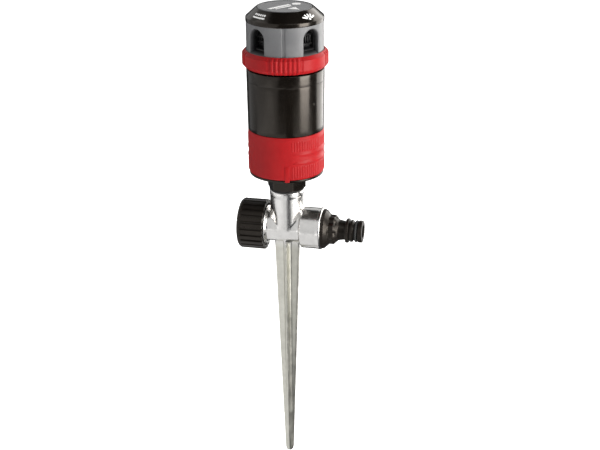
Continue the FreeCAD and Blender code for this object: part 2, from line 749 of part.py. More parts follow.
def gear_solid(teeth, low, high, centre_x=0.0, phase=0.0):
    """A spur gear whose first tooth points at an angle of phase, in degrees."""
    flank = tooth_flank(teeth, size("gear_module"), size("gear_backlash"))
    corners = []
    for tooth in range(teeth):
        middle = math.radians(phase) + 2 * math.pi * tooth / teeth
        corners += [(r, middle - half) for r, half in flank]
        corners += [(r, middle + half) for r, half in reversed(flank)]
    points = [FreeCAD.Vector(centre_x + r * math.cos(a), r * math.sin(a), low) for r, a in corners]
    face = Part.Face(Part.makePolygon(points + points[:1]))
    return face.extrude(FreeCAD.Vector(0, 0, high - low))


def column(radius, low, high, centre_x=0.0):
    return Part.makeCylinder(radius, high - low, FreeCAD.Vector(centre_x, 0, low))


def feature(label, shape):
    node = doc.addObject("Part::Feature", label)
    node.Shape = shape
    node.Placement = FreeCAD.Placement()
    return part(node, label)


def build_gears():
    """Four meshes of one ratio: turbine pinion, three two-step gears, output wheel."""
    few, many = int(size("pinion_teeth")), int(size("wheel_teeth"))
    spread = size("gear_module") * (few + many) / 2
    shaft, gap = size("shaft_radius"), size("running_gap")
    floor = size("case_floor_top") + 0.8
    face, step = size("gear_face"), size("gear_step")
    half_tooth = 180.0 / many
    pinion = gear_solid(few, floor, floor + face).cut(column(shaft, floor - 1, floor + face + 1))
    feature("turbine_pinion", pinion)
    names = ("first_gear", "second_gear", "third_gear")
    for stage, name in enumerate(names):
        centre = spread if stage % 2 == 0 else 0.0
        low = floor + step * stage
        facing = 180.0 * ((stage + 1) % 2)
        wheel = gear_solid(many, low + 0.1, low + face - 0.1, centre, facing + half_tooth)
        drive = gear_solid(few, low + face - 0.1, low + step + face, centre, facing)
        hole = column(shaft + gap, low - 1, low + step + face + 1, centre)
        feature(name, wheel.fuse(drive).cut(hole))
    low = floor + step * len(names)
    wheel = gear_solid(many, low + 0.1, low + face - 0.1, 0.0, half_tooth)
    neck = column(size("output_shaft_radius"), low + face - 0.1, size("core_low"))
    side = size("drive_dog_side")
    dog = Part.makeBox(side, side, 5.0, FreeCAD.Vector(-side / 2, -side / 2, size("core_low") - 0.1))
    blind = column(shaft + gap, low - 1, size("case_top") - 6.5)
    feature("output_gear", wheel.fuse([neck, dog]).cut(blind))


def build_gearbox():
    floor = "case_floor_top"
    case = turned("case_wall", [
        ("bush_radius", "case_low - 1.5"), ("bush_radius + 1.5", "case_low - 1.5"),
        ("bush_radius + 1.5", "case_low"), ("base_wall_radius", "case_low"), ("base_wall_radius", floor),
        ("case_radius", floor), ("case_radius", "case_top"), ("case_bore_radius", "case_top"),
        ("case_bore_radius", floor), ("bush_radius", floor)])
    ports = [rod("case_port_%d" % k, "case_port_radius", "case_low - 1", floor + " + 1",
                 "case_port_circle + 0.15", 30.0 * k + 15.0) for k in range(12)]
    trip = trip_hole("case_trip_hole", "case_low", floor)
    angles = (60, 120, 240, 300)
    bosses = [rod("screw_boss_%d" % k, "screw_boss_radius", "case_floor_top - 0.5", "case_top",
                  "screw_circle", angle) for k, angle in enumerate(angles)]
    threads = [rod("screw_thread_%d" % k, "screw_thread_radius", "case_top - 8", "case_top + 1",
                   "screw_circle", angle) for k, angle in enumerate(angles)]
    bored = cut("case_bored", case, ports + [trip])
    part(cut("case_tapped", fuse("case_bossed", [bored] + bosses), threads), "gearbox_case")
    cover = turned("cover_plate", [
        ("output_shaft_radius + 2", "case_top"), ("case_radius", "case_top"),
        ("case_radius", "cover_top - 0.5"), ("case_radius - 0.5", "cover_top"),
        ("output_shaft_radius + 2", "cover_top")])
    holes = [rod("cover_screw_hole_%d" % k, "screw_hole_radius", "case_top - 1", "cover_top + 1",
                 "screw_circle", angle) for k, angle in enumerate(angles)]
    holes.append(trip_hole("cover_trip_hole", "case_top", "cover_top"))
    part(cut("cover_bored", cover, holes), "gearbox_cover")
    screws = []
    for k, angle in enumerate(angles):
        shank = rod("screw_shank_%d" % k, "screw_radius", "case_top - 6", "cover_top + 0.5",
                    "screw_circle", angle)
        head = rod("screw_head_%d" % k, "screw_head_radius", "cover_top", "cover_top + 1.3",
                   "screw_circle", angle)
        slot = spoke("screw_slot_%d" % k, "screw_circle - 2", "screw_circle + 2", "0.5",
                     "cover_top + 0.8", "cover_top + 1.4", angle)
        screws.append(cut("screw_%d" % k, fuse("screw_blank_%d" % k, [shank, head]), [slot]))
    part(group("cover_screws", screws), "gearbox_screws")
    spread = "gear_module * (pinion_teeth + wheel_teeth) / 2"
    part(rod("side_pin_rod", "shaft_radius", "case_floor_top", "case_top", spread), "gear_side_pin")
    part(turned("turbine_bush", ring_outline("shaft_radius + running_gap", "bush_radius",
                                             "case_low - 1.5", "case_floor_top")), "turbine_bush")
    shaft, seat, split = "output_shaft_radius + running_gap", "output_shaft_radius + 2", "cover_top - 1.5"
    part(turned("output_bush", ring_outline(shaft, seat, "case_top", split)), "output_bush")
    part(turned("gearbox_seal", ring_outline(shaft, seat, split, "cover_top")), "gearbox_seal")


# ---- rotating core, arc ring and turret -----------------------------------------------

def build_core():
    groove = "shell_deck_low - 1.3"
    tube = turned("core_tube", [
        ("core_bore_radius", "core_low"), ("core_radius", "core_low"), ("core_radius", groove),
        ("core_radius - 0.8", groove), ("core_radius - 0.8", groove + " + 1"),
        ("core_radius", groove + " + 1"),
        ("core_radius", "core_flange_low"), ("core_flange_radius", "core_flange_low"),
        ("core_flange_radius", "core_flange_top"), ("core_radius", "core_flange_top"),
        ("core_radius", "core_top"), ("0", "core_top"), ("0", "core_cavity_top"),
        ("core_bore_radius - 1.5", "core_cavity_top"), ("core_bore_radius", "core_cavity_top - 2")])
    port = radial_rod("core_port", "outlet_port_radius", "core_bore_radius - 3", "core_radius + 2",
                      "nozzle_height", size("outlet_angle"))
    socket = square_bar("core_disc_socket", "disc_plug_side + 0.1", "core_cavity_top + 2", "core_top + 1")
    arms = [spoke("core_arm_%d" % k, "core_arm_start", "core_bore_radius + 1", "core_arm_width",
                  "core_low + 0.3", "core_low + 4.3", 120.0 * k + 30.0) for k in range(3)]
    hub = rod("core_hub", "core_hub_radius", "core_low + 0.3", "core_low + 4.8")
    dog = square_bar("core_dog_hole", "drive_dog_side + 0.1", "core_low - 1", "core_low + 7")
    tab = spoke("core_trip_tab", "trip_circle - 1.6", "ring_lip_radius - 0.6", "tab_width", "tab_low",
                "core_flange_low + 1", size("core_tab_angle"))
    outside = fuse("core_outside", [cut("core_drilled", tube, [port, socket])] + arms + [hub, tab])
    part(cut("core_finished", outside, [dog]), "port_core")
    clip = turned("core_clip_ring", ring_outline("core_radius - 0.75", "core_radius + 1.6",
                                                 groove + " + 0.1", groove + " + 0.9"))
    gap = spoke("core_clip_gap", "core_radius - 2", "core_radius + 3", "5", "core_low",
                "shell_deck_low", 200.0)
    part(cut("core_clip_open", clip, [gap]), "core_clip")


def build_indicator_disc():
    disc = turned("disc_plate", [
        ("0", "core_top"), ("disc_stem_radius", "core_top"), ("disc_stem_radius", "disc_low"),
        ("disc_radius", "disc_low"),
        ("disc_radius", "disc_top - 0.3"), ("disc_radius - 0.3", "disc_top"), ("0", "disc_top")])
    plug = square_bar("disc_plug", "disc_plug_side", "core_top - 3.5", "core_top + 0.5")
    part(fuse("disc_plugged", [disc, plug]), "indicator_disc")


def build_arc_ring():
    band = turned("ring_band", [
        ("ring_edge_radius", "ring_low"), ("ring_radius", "ring_chamfer_low"),
        ("ring_radius", "ring_chamfer_top"),
        ("ring_edge_radius", "ring_top"), ("turret_radius + free_gap", "ring_top"),
        ("turret_radius + free_gap", "core_flange_top + 0.4"),
        ("core_flange_radius + free_gap", "core_flange_top + 0.4"),
        ("core_flange_radius + free_gap", "core_flange_low - free_gap"),
        ("ring_lip_radius", "core_flange_low - free_gap"),
        ("ring_lip_radius", "core_flange_low - ring_lip_depth"),
        ("ring_skirt_radius", "core_flange_low - ring_lip_depth"), ("ring_skirt_radius", "ring_low")])
    ribs = []
    groups, count = int(size("ring_rib_groups")), int(size("ring_ribs_in_group"))
    for g in range(groups):
        for k in range(count):
            angle = (size("ring_rib_angle") + 360.0 * g / groups
                     + size("ring_rib_step") * (k - (count - 1) / 2))
            ribs.append(spoke("ring_rib_%d_%d" % (g, k), "ring_radius - 1", "ring_radius + ring_rib_height",
                              "ring_rib_width", "ring_chamfer_low + 0.3", "ring_chamfer_top - 0.3", angle))
    tab = spoke("ring_trip_tab", "ring_lip_radius + 0.4", "ring_skirt_radius - 1.6", "tab_width", "tab_low",
                "core_flange_low - 1", size("ring_tab_angle"))
    part(fuse("ring_ribbed", [band, tab] + ribs), "arc_ring")


def arch(label, margin, r_in, r_out, angle):
    """A round-topped bar along a radius: a window's opening, grown all round by margin."""
    half = "(window_width / 2 + %s)" % margin
    spring = "window_top - window_width / 2"
    low = "window_low - %s" % margin
    block = spoke(label + "_block", r_in, r_out, "window_width + 2 * %s" % margin, low, spring, angle)
    top = radial_rod(label + "_top", half, r_in, r_out, spring, angle)
    return fuse(label, [block, top])


def window_angles():
    count = int(size("window_count"))
    return [size("outlet_angle") + 360.0 * k / count for k in range(count)]


def build_turret_shell():
    wall = turned("turret_wall", [
        ("turret_hole_radius", "turret_low"), ("turret_radius", "turret_low"),
        ("turret_radius", "turret_top"),
        ("turret_bore_radius", "turret_top"), ("turret_bore_radius", "turret_floor_top"),
        ("turret_hole_radius", "turret_floor_top")])
    tunnels, openings, grooves = [], [], []
    for k, angle in enumerate(window_angles()):
        tunnels.append(arch("tunnel_%d" % k, "window_wall", "tunnel_start", "turret_bore_radius + 0.6",
                            angle))
        openings.append(arch("window_%d" % k, "0", "tunnel_start - 1", "turret_radius + 2", angle))
        grooves.append(spoke("turret_groove_%d" % k, "turret_radius - groove_depth", "turret_radius + 2",
                             "groove_width", "turret_low - 1", "turret_top + 1",
                             size("groove_angle") + 90.0 * k))
    solid = fuse("turret_solid", [wall] + tunnels)
    part(cut("turret_windowed", solid, openings + grooves), "turret_shell")


def build_turret_cap():
    part(turned("cap_shell", [
        ("cap_radius", "turret_top"), ("cap_radius", "cap_band_top"), ("cap_hole_radius", "disc_top"),
        ("cap_hole_radius", "disc_low - 0.3"), ("cap_ledge_radius", "disc_low - 0.3"),
        ("cap_ledge_radius", "disc_low - 1.8"), ("cap_hole_radius + 1", "disc_low - 1.8"),
        ("cap_inner_radius", "cap_band_top + 0.1"), ("cap_inner_radius", "turret_top - 0.9"),
        ("turret_bore_radius - 0.15", "turret_top - 0.9"), ("turret_bore_radius - 0.15", "turret_top")]),
        "turret_cap")


def build_nozzles():
    """Four inserts, one per window, each with its own spray outlet."""
    labels = ("nozzle_fan", "nozzle_jet", "nozzle_mist", "nozzle_flat")
    seals = []
    for k, (label, angle) in enumerate(zip(labels, window_angles())):
        body = arch("insert_%d" % k, "-0.1", "nozzle_back", "nozzle_face", angle)
        through = radial_rod("insert_bore_%d" % k, "nozzle_bore_radius", "nozzle_back - 1",
                             "nozzle_face - nozzle_skin", "nozzle_height", angle)
        tools = [through] + outlet_tools(label, angle)
        part(cut(label + "_cut", body, tools), label)
        ring = radial_rod("port_seal_ring_%d" % k, "seal_outer_radius", "core_radius + free_gap",
                          "nozzle_back", "nozzle_height", angle)
        hole = radial_rod("port_seal_hole_%d" % k, "seal_inner_radius", "core_radius - 1",
                          "nozzle_back + 1", "nozzle_height", angle)
        seals.append(cut("port_seal_%d" % k, ring, [hole]))
    part(group("port_seals", seals), "port_seals")


def outlet_tools(kind, angle):
    """What is cut through an insert's face: a jet, three holes, a sieve or a fan slot."""
    r_in, r_out = "nozzle_face - 2", "nozzle_face + 1"
    if kind == "nozzle_jet":
        return [radial_rod("jet_hole", "jet_hole_radius", r_in, r_out, "nozzle_height", angle)]
    if kind == "nozzle_flat":
        return [shifted_rod("flat_hole_%d" % k, "flat_hole_radius", r_in, r_out, "%d * flat_hole_step" % k,
                            "0", angle) for k in (-1, 0, 1)]
    if kind == "nozzle_mist":
        return [shifted_rod("mist_hole_%d_%d" % (k, n), "mist_hole_radius", r_in, r_out,
                            "%d * mist_hole_step" % k, "%d * mist_hole_step" % n, angle)
                for k in (-1, 0, 1) for n in (-1, 0, 1)]
    return [spoke("fan_slot", r_in, r_out, "fan_slot_width", "nozzle_height - fan_slot_height / 2",
                  "nozzle_height + fan_slot_height / 2", angle)]


def shifted_rod(label, radius, r_in, r_out, side, rise, angle):
    """A small radial hole set off to one side of the insert's middle."""
    hole = radial_rod(label.replace("-", "m"), radius, r_in, r_out, "nozzle_height + " + rise, angle)
    place(hole, r_in, str(side), "nozzle_height + (%s)" % rise, angle)
    upright = FreeCAD.Rotation(AXIS_Z, angle)
    hole.Placement.Rotation = upright.multiply(FreeCAD.Rotation(FreeCAD.Vector(0, 1, 0), 90))
    return hole


# ---- reversing trip -------------------------------------------------------------------

def trip_arm(label, length, width, low, high, turned_by):
    """A flat arm on the trip's shaft; length runs from the shaft, at an angle to +X."""
    arm = doc.addObject("Part::Box", label)
    arm.setExpression("Length", bound(length))
    arm.setExpression("Width", bound(width))
    arm.setExpression("Height", bound("(%s) - (%s)" % (high, low)))
    arm.Placement.Rotation = FreeCAD.Rotation(AXIS_Z, turned_by)
    turn = "%g * 1 deg" % turned_by
    half = bound("(%s) / 2" % width)
    arm.setExpression(".Placement.Base.x", "%s + %s * sin(%s)" % (bound("-trip_circle"), half, turn))
    arm.setExpression(".Placement.Base.y", "-%s * cos(%s)" % (half, turn))
    arm.setExpression(".Placement.Base.z", bound(low))
    return arm


def build_trip():
    back = -size("trip_throw") / 2
    shaft = rod("trip_shaft", "trip_shaft_radius", "stator_low + 0.3", "trip_paddle_top", "-trip_circle")
    hub = rod("trip_hub", "trip_hub_radius", "trip_paddle_low", "trip_paddle_top", "-trip_circle")
    finger = trip_arm("trip_finger", "trip_finger_length", "trip_finger_width", "trip_paddle_low",
                      "trip_paddle_top", 180.0 + back)
    part(fuse("trip", [shaft, hub, finger]), "trip_lever")
    collar = rod("vane_collar", "trip_hub_radius + 0.2", "trip_low", "trip_low + 2", "-trip_circle")
    blade = trip_arm("vane_blade", "vane_length", "vane_width", "trip_low", "trip_low + 1.2", back)
    hole = rod("vane_hole", "trip_shaft_radius", "trip_low - 1", "trip_low + 3", "-trip_circle")
    part(cut("vane", fuse("vane_outside", [collar, blade]), [hole]), "direction_vane")
    bow = rod("spring_bow_outside", "3.2", "cover_top + 0.1", "cover_top + 1.5", "-trip_circle")
    inner = rod("spring_bow_inside", "2.7", "cover_top - 1", "cover_top + 2", "-trip_circle")
    mouth = trip_arm("spring_mouth", "6", "2.4", "cover_top - 1", "cover_top + 2", 0.0)
    part(cut("spring_bow", bow, [inner, mouth]), "toggle_spring")


# ---- the whole sprinkler --------------------------------------------------------------

def check_and_write():
    doc.recompute()
    bad = [node.Label for node in doc.Objects if {"Invalid", "Error"} & set(node.State)]
    for node in PARTS:
        if node.Shape.isNull() or not node.Shape.isValid() or not node.Shape.Solids:
            bad.append(node.Label)
    if bad:
        raise RuntimeError("these objects failed: " + ", ".join(bad))
    os.makedirs("parts", exist_ok=True)
    for node in PARTS:
        node.Shape.exportStep(os.path.join("parts", node.Label + ".step"))
        print("%-18s %2d solid(s) %10.1f mm3" % (node.Label, len(node.Shape.Solids), node.Shape.Volume))


build_spike_casting()
build_hose_adapter()
build_end_cap()
build_coupling()
build_inlet_filter()
build_base_housing()
build_flow_collar()
build_throttle()
build_stator()
build_turbine()
build_gears()
build_gearbox()
build_body_shell()
build_core_bearings()
build_core()
build_indicator_disc()
build_arc_ring()
build_turret_shell()
build_turret_cap()
build_nozzles()
build_trip()
check_and_write()
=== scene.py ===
import json
import math

import bmesh
import bpy
import numpy as np
from mathutils import Matrix, Quaternion, Vector


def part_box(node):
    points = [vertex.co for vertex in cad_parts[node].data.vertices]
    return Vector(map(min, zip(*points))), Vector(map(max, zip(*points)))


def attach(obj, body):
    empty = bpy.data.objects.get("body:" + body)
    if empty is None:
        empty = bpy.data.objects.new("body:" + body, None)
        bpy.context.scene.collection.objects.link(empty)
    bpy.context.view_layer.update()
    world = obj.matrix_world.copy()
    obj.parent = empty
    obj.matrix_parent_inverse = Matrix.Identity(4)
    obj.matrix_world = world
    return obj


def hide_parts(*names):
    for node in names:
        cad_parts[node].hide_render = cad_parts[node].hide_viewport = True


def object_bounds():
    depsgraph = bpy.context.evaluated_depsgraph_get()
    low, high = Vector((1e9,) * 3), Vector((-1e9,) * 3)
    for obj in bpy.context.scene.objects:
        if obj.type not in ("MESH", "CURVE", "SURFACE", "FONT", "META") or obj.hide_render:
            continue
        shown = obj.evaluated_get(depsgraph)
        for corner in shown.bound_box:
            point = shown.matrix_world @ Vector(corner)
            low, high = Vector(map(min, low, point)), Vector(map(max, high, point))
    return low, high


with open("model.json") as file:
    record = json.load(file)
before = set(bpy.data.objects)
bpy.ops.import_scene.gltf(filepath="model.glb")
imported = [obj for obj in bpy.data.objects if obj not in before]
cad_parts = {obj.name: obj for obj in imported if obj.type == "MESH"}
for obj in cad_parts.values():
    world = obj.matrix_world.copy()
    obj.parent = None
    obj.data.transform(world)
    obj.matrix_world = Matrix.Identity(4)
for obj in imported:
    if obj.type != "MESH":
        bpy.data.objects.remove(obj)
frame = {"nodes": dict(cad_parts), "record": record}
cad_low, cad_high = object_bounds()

# Sizes are in millimetres and become metres in make_mesh. Heights and radii come from
# the frame's boxes; what is named here is the finer detail that the frame leaves out.
MM = 0.001
TURN = 2 * math.pi
CREASE = 35.0

# The camera looks at the head's axis at the tee's height, from distance, moved aside and up
# across its view; azimuth 0 is straight from -Y.
CAMERA_AZIMUTH = 13.0
CAMERA_ELEVATION = 22.5
CAMERA_DISTANCE = 897.0
CAMERA_ROLL = 0.45
CAMERA_ASIDE = 9.11
CAMERA_RAISE = 0.43
CAMERA_LENS = 75.0
CAMERA_SENSOR = 36.0


# ---- places taken from the frame --------------------------------------------------------

def span(node):
    """A node's box in millimetres: lowest and highest corner."""
    low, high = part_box(node)
    return low / MM, high / MM


def heights(node):
    low, high = span(node)
    return low.z, high.z


def radius(node):
    """Outer radius of a node that is round about the vertical axis, from its Y width."""
    low, high = span(node)
    return (high.y - low.y) / 2


def tee_height():
    low, high = span("end_cap")
    return (low.z + high.z) / 2


# ---- mesh helpers -----------------------------------------------------------------------

def in_scene(name, data):
    """A new object of the scene that shows data: a mesh, a light or a camera."""
    thing = bpy.data.objects.new(name, data)
    bpy.context.scene.collection.objects.link(thing)
    return thing


def make_mesh(name, points, faces, crease=CREASE):
    """A mesh object from millimetre points."""
    mesh = bpy.data.meshes.new(name)
    mesh.from_pydata((np.asarray(points, float) * MM).tolist(), [], faces)
    mesh.validate()
    thing = in_scene(name, mesh)
    shade(thing, crease)
    return thing


def from_bmesh(name, mesh):
    """A mesh object from a bmesh, which is freed."""
    data = bpy.data.meshes.new(name)
    mesh.to_mesh(data)
    mesh.free()
    thing = in_scene(name, data)
    shade(thing, CREASE)
    return thing


def band(lower, upper, size):
    """The faces between two loops of size points; lower and upper are their first points."""
    faces = []
    for j in range(size):
        k = (j + 1) % size
        faces.append((lower + j, lower + k, upper + k, upper + j))
    return faces


def shade(thing, crease):
    """Smooth shading, with the edges sharper than crease degrees left sharp."""
    thing.data.shade_smooth()
    thing.data.set_sharp_from_angle(angle=math.radians(crease))


def tidy_mesh(thing, crease=CREASE, merge=1e-6):
    """Weld doubles, turn the faces outward and shade."""
    mesh = bmesh.new()
    mesh.from_mesh(thing.data)
    bmesh.ops.remove_doubles(mesh, verts=mesh.verts, dist=merge)
    bmesh.ops.recalc_face_normals(mesh, faces=mesh.faces)
    mesh.to_mesh(thing.data)
    mesh.free()
    shade(thing, crease)
    return thing


def rounded(corners, steps=4):
    """Outline of (radius, height, fillet) corners, with each fillet drawn as an arc."""
    points = []
    count = len(corners)
    for i in range(count):
        here = np.array(corners[i][:2], float)
        fillet = corners[i][2] if len(corners[i]) > 2 else 0.0
        if not fillet:
            points.append(here)
            continue
        back = np.array(corners[i - 1][:2], float) - here
        ahead = np.array(corners[(i + 1) % count][:2], float) - here
        back /= np.linalg.norm(back)
        ahead /= np.linalg.norm(ahead)
        half = math.acos(float(np.clip(back @ ahead, -1, 1))) / 2
        reach = fillet / math.tan(half)
        middle = here + (back + ahead) / np.linalg.norm(back + ahead) * fillet / math.sin(half)
        start, end = here + back * reach - middle, here + ahead * reach - middle
        sweep = math.pi - 2 * half
        turn = math.copysign(sweep, start[0] * end[1] - start[1] * end[0])
        for k in range(steps + 1):
            a = turn * k / steps
            spin = np.array([[math.cos(a), -math.sin(a)], [math.sin(a), math.cos(a)]])
            points.append(middle + spin @ start)
    return np.array(points)


def refined(points, step, closed=True):
    """The same outline with no stretch longer than step."""
    result = []
    count = len(points)
    for i in range(count if closed else count - 1):
        a, b = points[i], points[(i + 1) % count]
        parts = max(1, int(math.ceil(np.linalg.norm(b - a) / step)))
        result += [a + (b - a) * k / parts for k in range(parts)]
    if not closed:
        result.append(points[-1])
    return np.array(result)


def lathe(name, outline, segments=144, about="Z", relief=None, crease=CREASE):
    """Turn an outline of (radius, height) about Z, or of (radius, X) about the tee's axis.

    relief(angle, radius, height) gives each point's new radius. An outline that starts and
    ends on the axis is closed there by single points."""
    outline = np.asarray(outline, float)
    around = np.arange(segments) * TURN / segments
    angle, r = np.meshgrid(around, outline[:, 0])
    height = np.repeat(outline[:, 1:2], segments, axis=1)
    if relief:
        r = relief(angle, r, height)
    if about == "Z":
        grid = np.stack([r * np.cos(angle), r * np.sin(angle), height], axis=-1)
    else:
        grid = np.stack([height, r * np.cos(angle), r * np.sin(angle) + tee_height()], axis=-1)
    rows = len(outline)
    faces = []
    on_axis = outline[0, 0] < 1e-9 and outline[-1, 0] < 1e-9
    for i in range(rows - 1 if on_axis else rows):
        faces += band(i * segments, (i + 1) % rows * segments, segments)
    thing = make_mesh(name, grid.reshape(-1, 3), faces, crease)
    return tidy_mesh(thing, crease)


def apply_modifier(thing, kind, **settings):
    """Bake one modifier into the mesh of thing."""
    modifier = thing.modifiers.new(kind.lower(), kind)
    for key, value in settings.items():
        setattr(modifier, key, value)
    graph = bpy.context.evaluated_depsgraph_get()
    mesh = bpy.data.meshes.new_from_object(thing.evaluated_get(graph))
    thing.modifiers.remove(modifier)
    old = thing.data
    thing.data = mesh
    bpy.data.meshes.remove(old)
    return thing


def subtract(thing, cutters):
    """Cut every cutter out of thing and delete it."""
    for cutter in cutters:
        apply_modifier(thing, "BOOLEAN", operation="DIFFERENCE", object=cutter, solver="MANIFOLD")
        drop(cutter)
    return thing


def drop(thing):
    mesh = thing.data
    bpy.data.objects.remove(thing)
    bpy.data.meshes.remove(mesh)


def merged(name, things):
    """Several mesh objects made into one."""
    mesh = bmesh.new()
    for thing in things:
        mesh.from_mesh(thing.data)
        drop(thing)
    return from_bmesh(name, mesh)


def block(name, size, centre, turn=0.0, edge=0.2):
    """A bar of (radial, side, up) size with bevelled edges, turned about Z and then placed."""
    mesh = bmesh.new()
    bmesh.ops.create_cube(mesh, size=1.0)
    for vert in mesh.verts:
        vert.co = Vector((vert.co.x * size[0], vert.co.y * size[1], vert.co.z * size[2]))
    bmesh.ops.bevel(mesh, geom=mesh.edges[:], offset=edge, segments=2, affect="EDGES", profile=0.5)
    spin = Matrix.Rotation(math.radians(turn), 4, "Z")
    mesh.transform(Matrix.Scale(MM, 4) @ spin @ Matrix.Translation(centre))
    return from_bmesh(name, mesh)


def finish_piece(thing, body, material, slot_name, *nodes):
    """Give a piece its material and its body, and hide the nodes that it stands for; slot_name is not used.
    """
    thing.data.materials.clear()
    thing.data.materials.append(material)
    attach(thing, body)
    if nodes:
        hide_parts(*nodes)
    return thing


def wave(angle, count, duty, soft=0.18):
    """Ribs as 0 to 1 round a circle: count of them, duty wide, with soft flanks."""
    phase = np.abs(((angle * count / TURN) % 1.0) - 0.5) * 2
    return np.clip((duty - phase) / soft + 0.5, 0, 1)


def ease(value):
    """0 to 1 with a smooth start and end."""
    value = np.clip(value, 0, 1)
    return value * value * (3 - 2 * value)


def zone(value, low, high, soft):
    """1 between low and high, easing to 0 over soft outside them."""
    return ease((value - low) / soft + 1) * ease((high - value) / soft + 1)


def facing(angle, azimuth):
    """Signed angle from a camera-side azimuth, in degrees, wrapped to +-180."""
    return (np.degrees(angle) + 90.0 - azimuth + 180.0) % 360.0 - 180.0


# ---- materials --------------------------------------------------------------------------

def new_material(name):
    """A material with its nodes, its links and its shader."""
    material = bpy.data.materials.new(name)
    material.use_nodes = True
    nodes = material.node_tree.nodes
    return material, nodes, material.node_tree.links, nodes["Principled BSDF"]


def object_space(nodes, links, scale=(1.0, 1.0, 1.0)):
    """Object coordinates in millimetres, stretched by scale."""
    coordinates = nodes.new("ShaderNodeTexCoord")
    mapping = nodes.new("ShaderNodeMapping")
    mapping.inputs["Scale"].default_value = [s / MM for s in scale]
    links.new(coordinates.outputs["Object"], mapping.inputs["Vector"])
    return mapping.outputs["Vector"]


def noise(nodes, links, vector, scale, detail=3.0, rough=0.55):
    texture = nodes.new("ShaderNodeTexNoise")
    texture.inputs["Scale"].default_value = scale
    texture.inputs["Detail"].default_value = detail
    texture.inputs["Roughness"].default_value = rough
    links.new(vector, texture.inputs["Vector"])
    return texture.outputs["Fac"]


def ramp(nodes, links, value, stops):
    """A colour ramp; stops are (place, grey or colour)."""
    node = nodes.new("ShaderNodeValToRGB")
    while len(node.color_ramp.elements) < len(stops):
        node.color_ramp.elements.new(0.5)
    for element, (place, colour) in zip(node.color_ramp.elements, stops):
        element.position = place
        if isinstance(colour, (int, float)):
            colour = (colour,) * 3
        element.color = (*colour, 1.0)
    links.new(value, node.inputs["Fac"])
    return node.outputs["Color"]


def bump(nodes, links, layers, shader):
    """Stack bump layers of (height, distance in millimetres, strength) on a shader."""
    normal = None
    for height, distance, strength in layers:
        node = nodes.new("ShaderNodeBump")
        node.inputs["Distance"].default_value = distance * MM
        node.inputs["Strength"].default_value = strength
        links.new(height, node.inputs["Height"])
        if normal:
            links.new(normal, node.inputs["Normal"])
        normal = node.outputs["Normal"]
    links.new(normal, shader.inputs["Normal"])


def plastic(name, dark, light, rough_low, rough_high, grain=0.02, specular=0.5, scratch=0.0,
            tint=(1.0, 1.0, 1.0), depth=None):
    """Moulded plastic: faint colour drift, uneven gloss, fine surface grain, light scratches, and with
    depth painted shade that darkens the colour towards the axis.
    """
    material, nodes, links, shader = new_material(name)
    space = object_space(nodes, links)
    drift = noise(nodes, links, space, 0.07, 4.0)
    colour = ramp(nodes, links, drift, [(0.35, dark), (0.68, light)])
    # Painted shade: depth darkens the colour inward, into the recesses that light does not reach.
    if depth:
        colour = painted_recess_shade(nodes, links, colour, *depth)
    links.new(colour, shader.inputs["Base Color"])
    patches = noise(nodes, links, space, 0.22, 5.0, 0.6)
    gloss = ramp(nodes, links, patches, [(0.3, rough_low), (0.7, rough_high)])
    links.new(gloss, shader.inputs["Roughness"])
    layers = [(noise(nodes, links, space, 4.0, 2.0), grain, 0.5),
              (noise(nodes, links, space, 0.12, 2.0), 0.25, 0.12)]
    if scratch:
        streaks = noise(nodes, links, object_space(nodes, links, (0.35, 0.35, 9.0)), 1.0, 4.0, 0.7)
        layers.append((ramp(nodes, links, streaks, [(0.62, 0.0), (0.7, 1.0)]), scratch, 0.5))
    bump(nodes, links, layers, shader)
    shader.inputs["Specular IOR Level"].default_value = specular
    shader.inputs["Specular Tint"].default_value = (*tint, 1.0)
    return material


def painted_recess_shade(nodes, links, colour, inner, outer, least):
    """Painted shade for recesses: colour times least inside the inner radius about the vertical axis, whole
    at the outer.
    """
    coordinates = nodes.new("ShaderNodeTexCoord")
    flat = nodes.new("ShaderNodeVectorMath")
    flat.operation = "MULTIPLY"
    flat.inputs[1].default_value = (1.0, 1.0, 0.0)
    links.new(coordinates.outputs["Object"], flat.inputs[0])
    length = nodes.new("ShaderNodeVectorMath")
    length.operation = "LENGTH"
    links.new(flat.outputs["Vector"], length.inputs[0])
    share = nodes.new("ShaderNodeMapRange")
    share.inputs["From Min"].default_value = inner * MM
    share.inputs["From Max"].default_value = outer * MM
    share.inputs["To Min"].default_value = least
    share.inputs["To Max"].default_value = 1.0
    links.new(length.outputs["Value"], share.inputs["Value"])
    scaled = nodes.new("ShaderNodeVectorMath")
    scaled.operation = "SCALE"
    links.new(colour, scaled.inputs[0])
    links.new(share.outputs["Result"], scaled.inputs["Scale"])
    return scaled.outputs["Vector"]


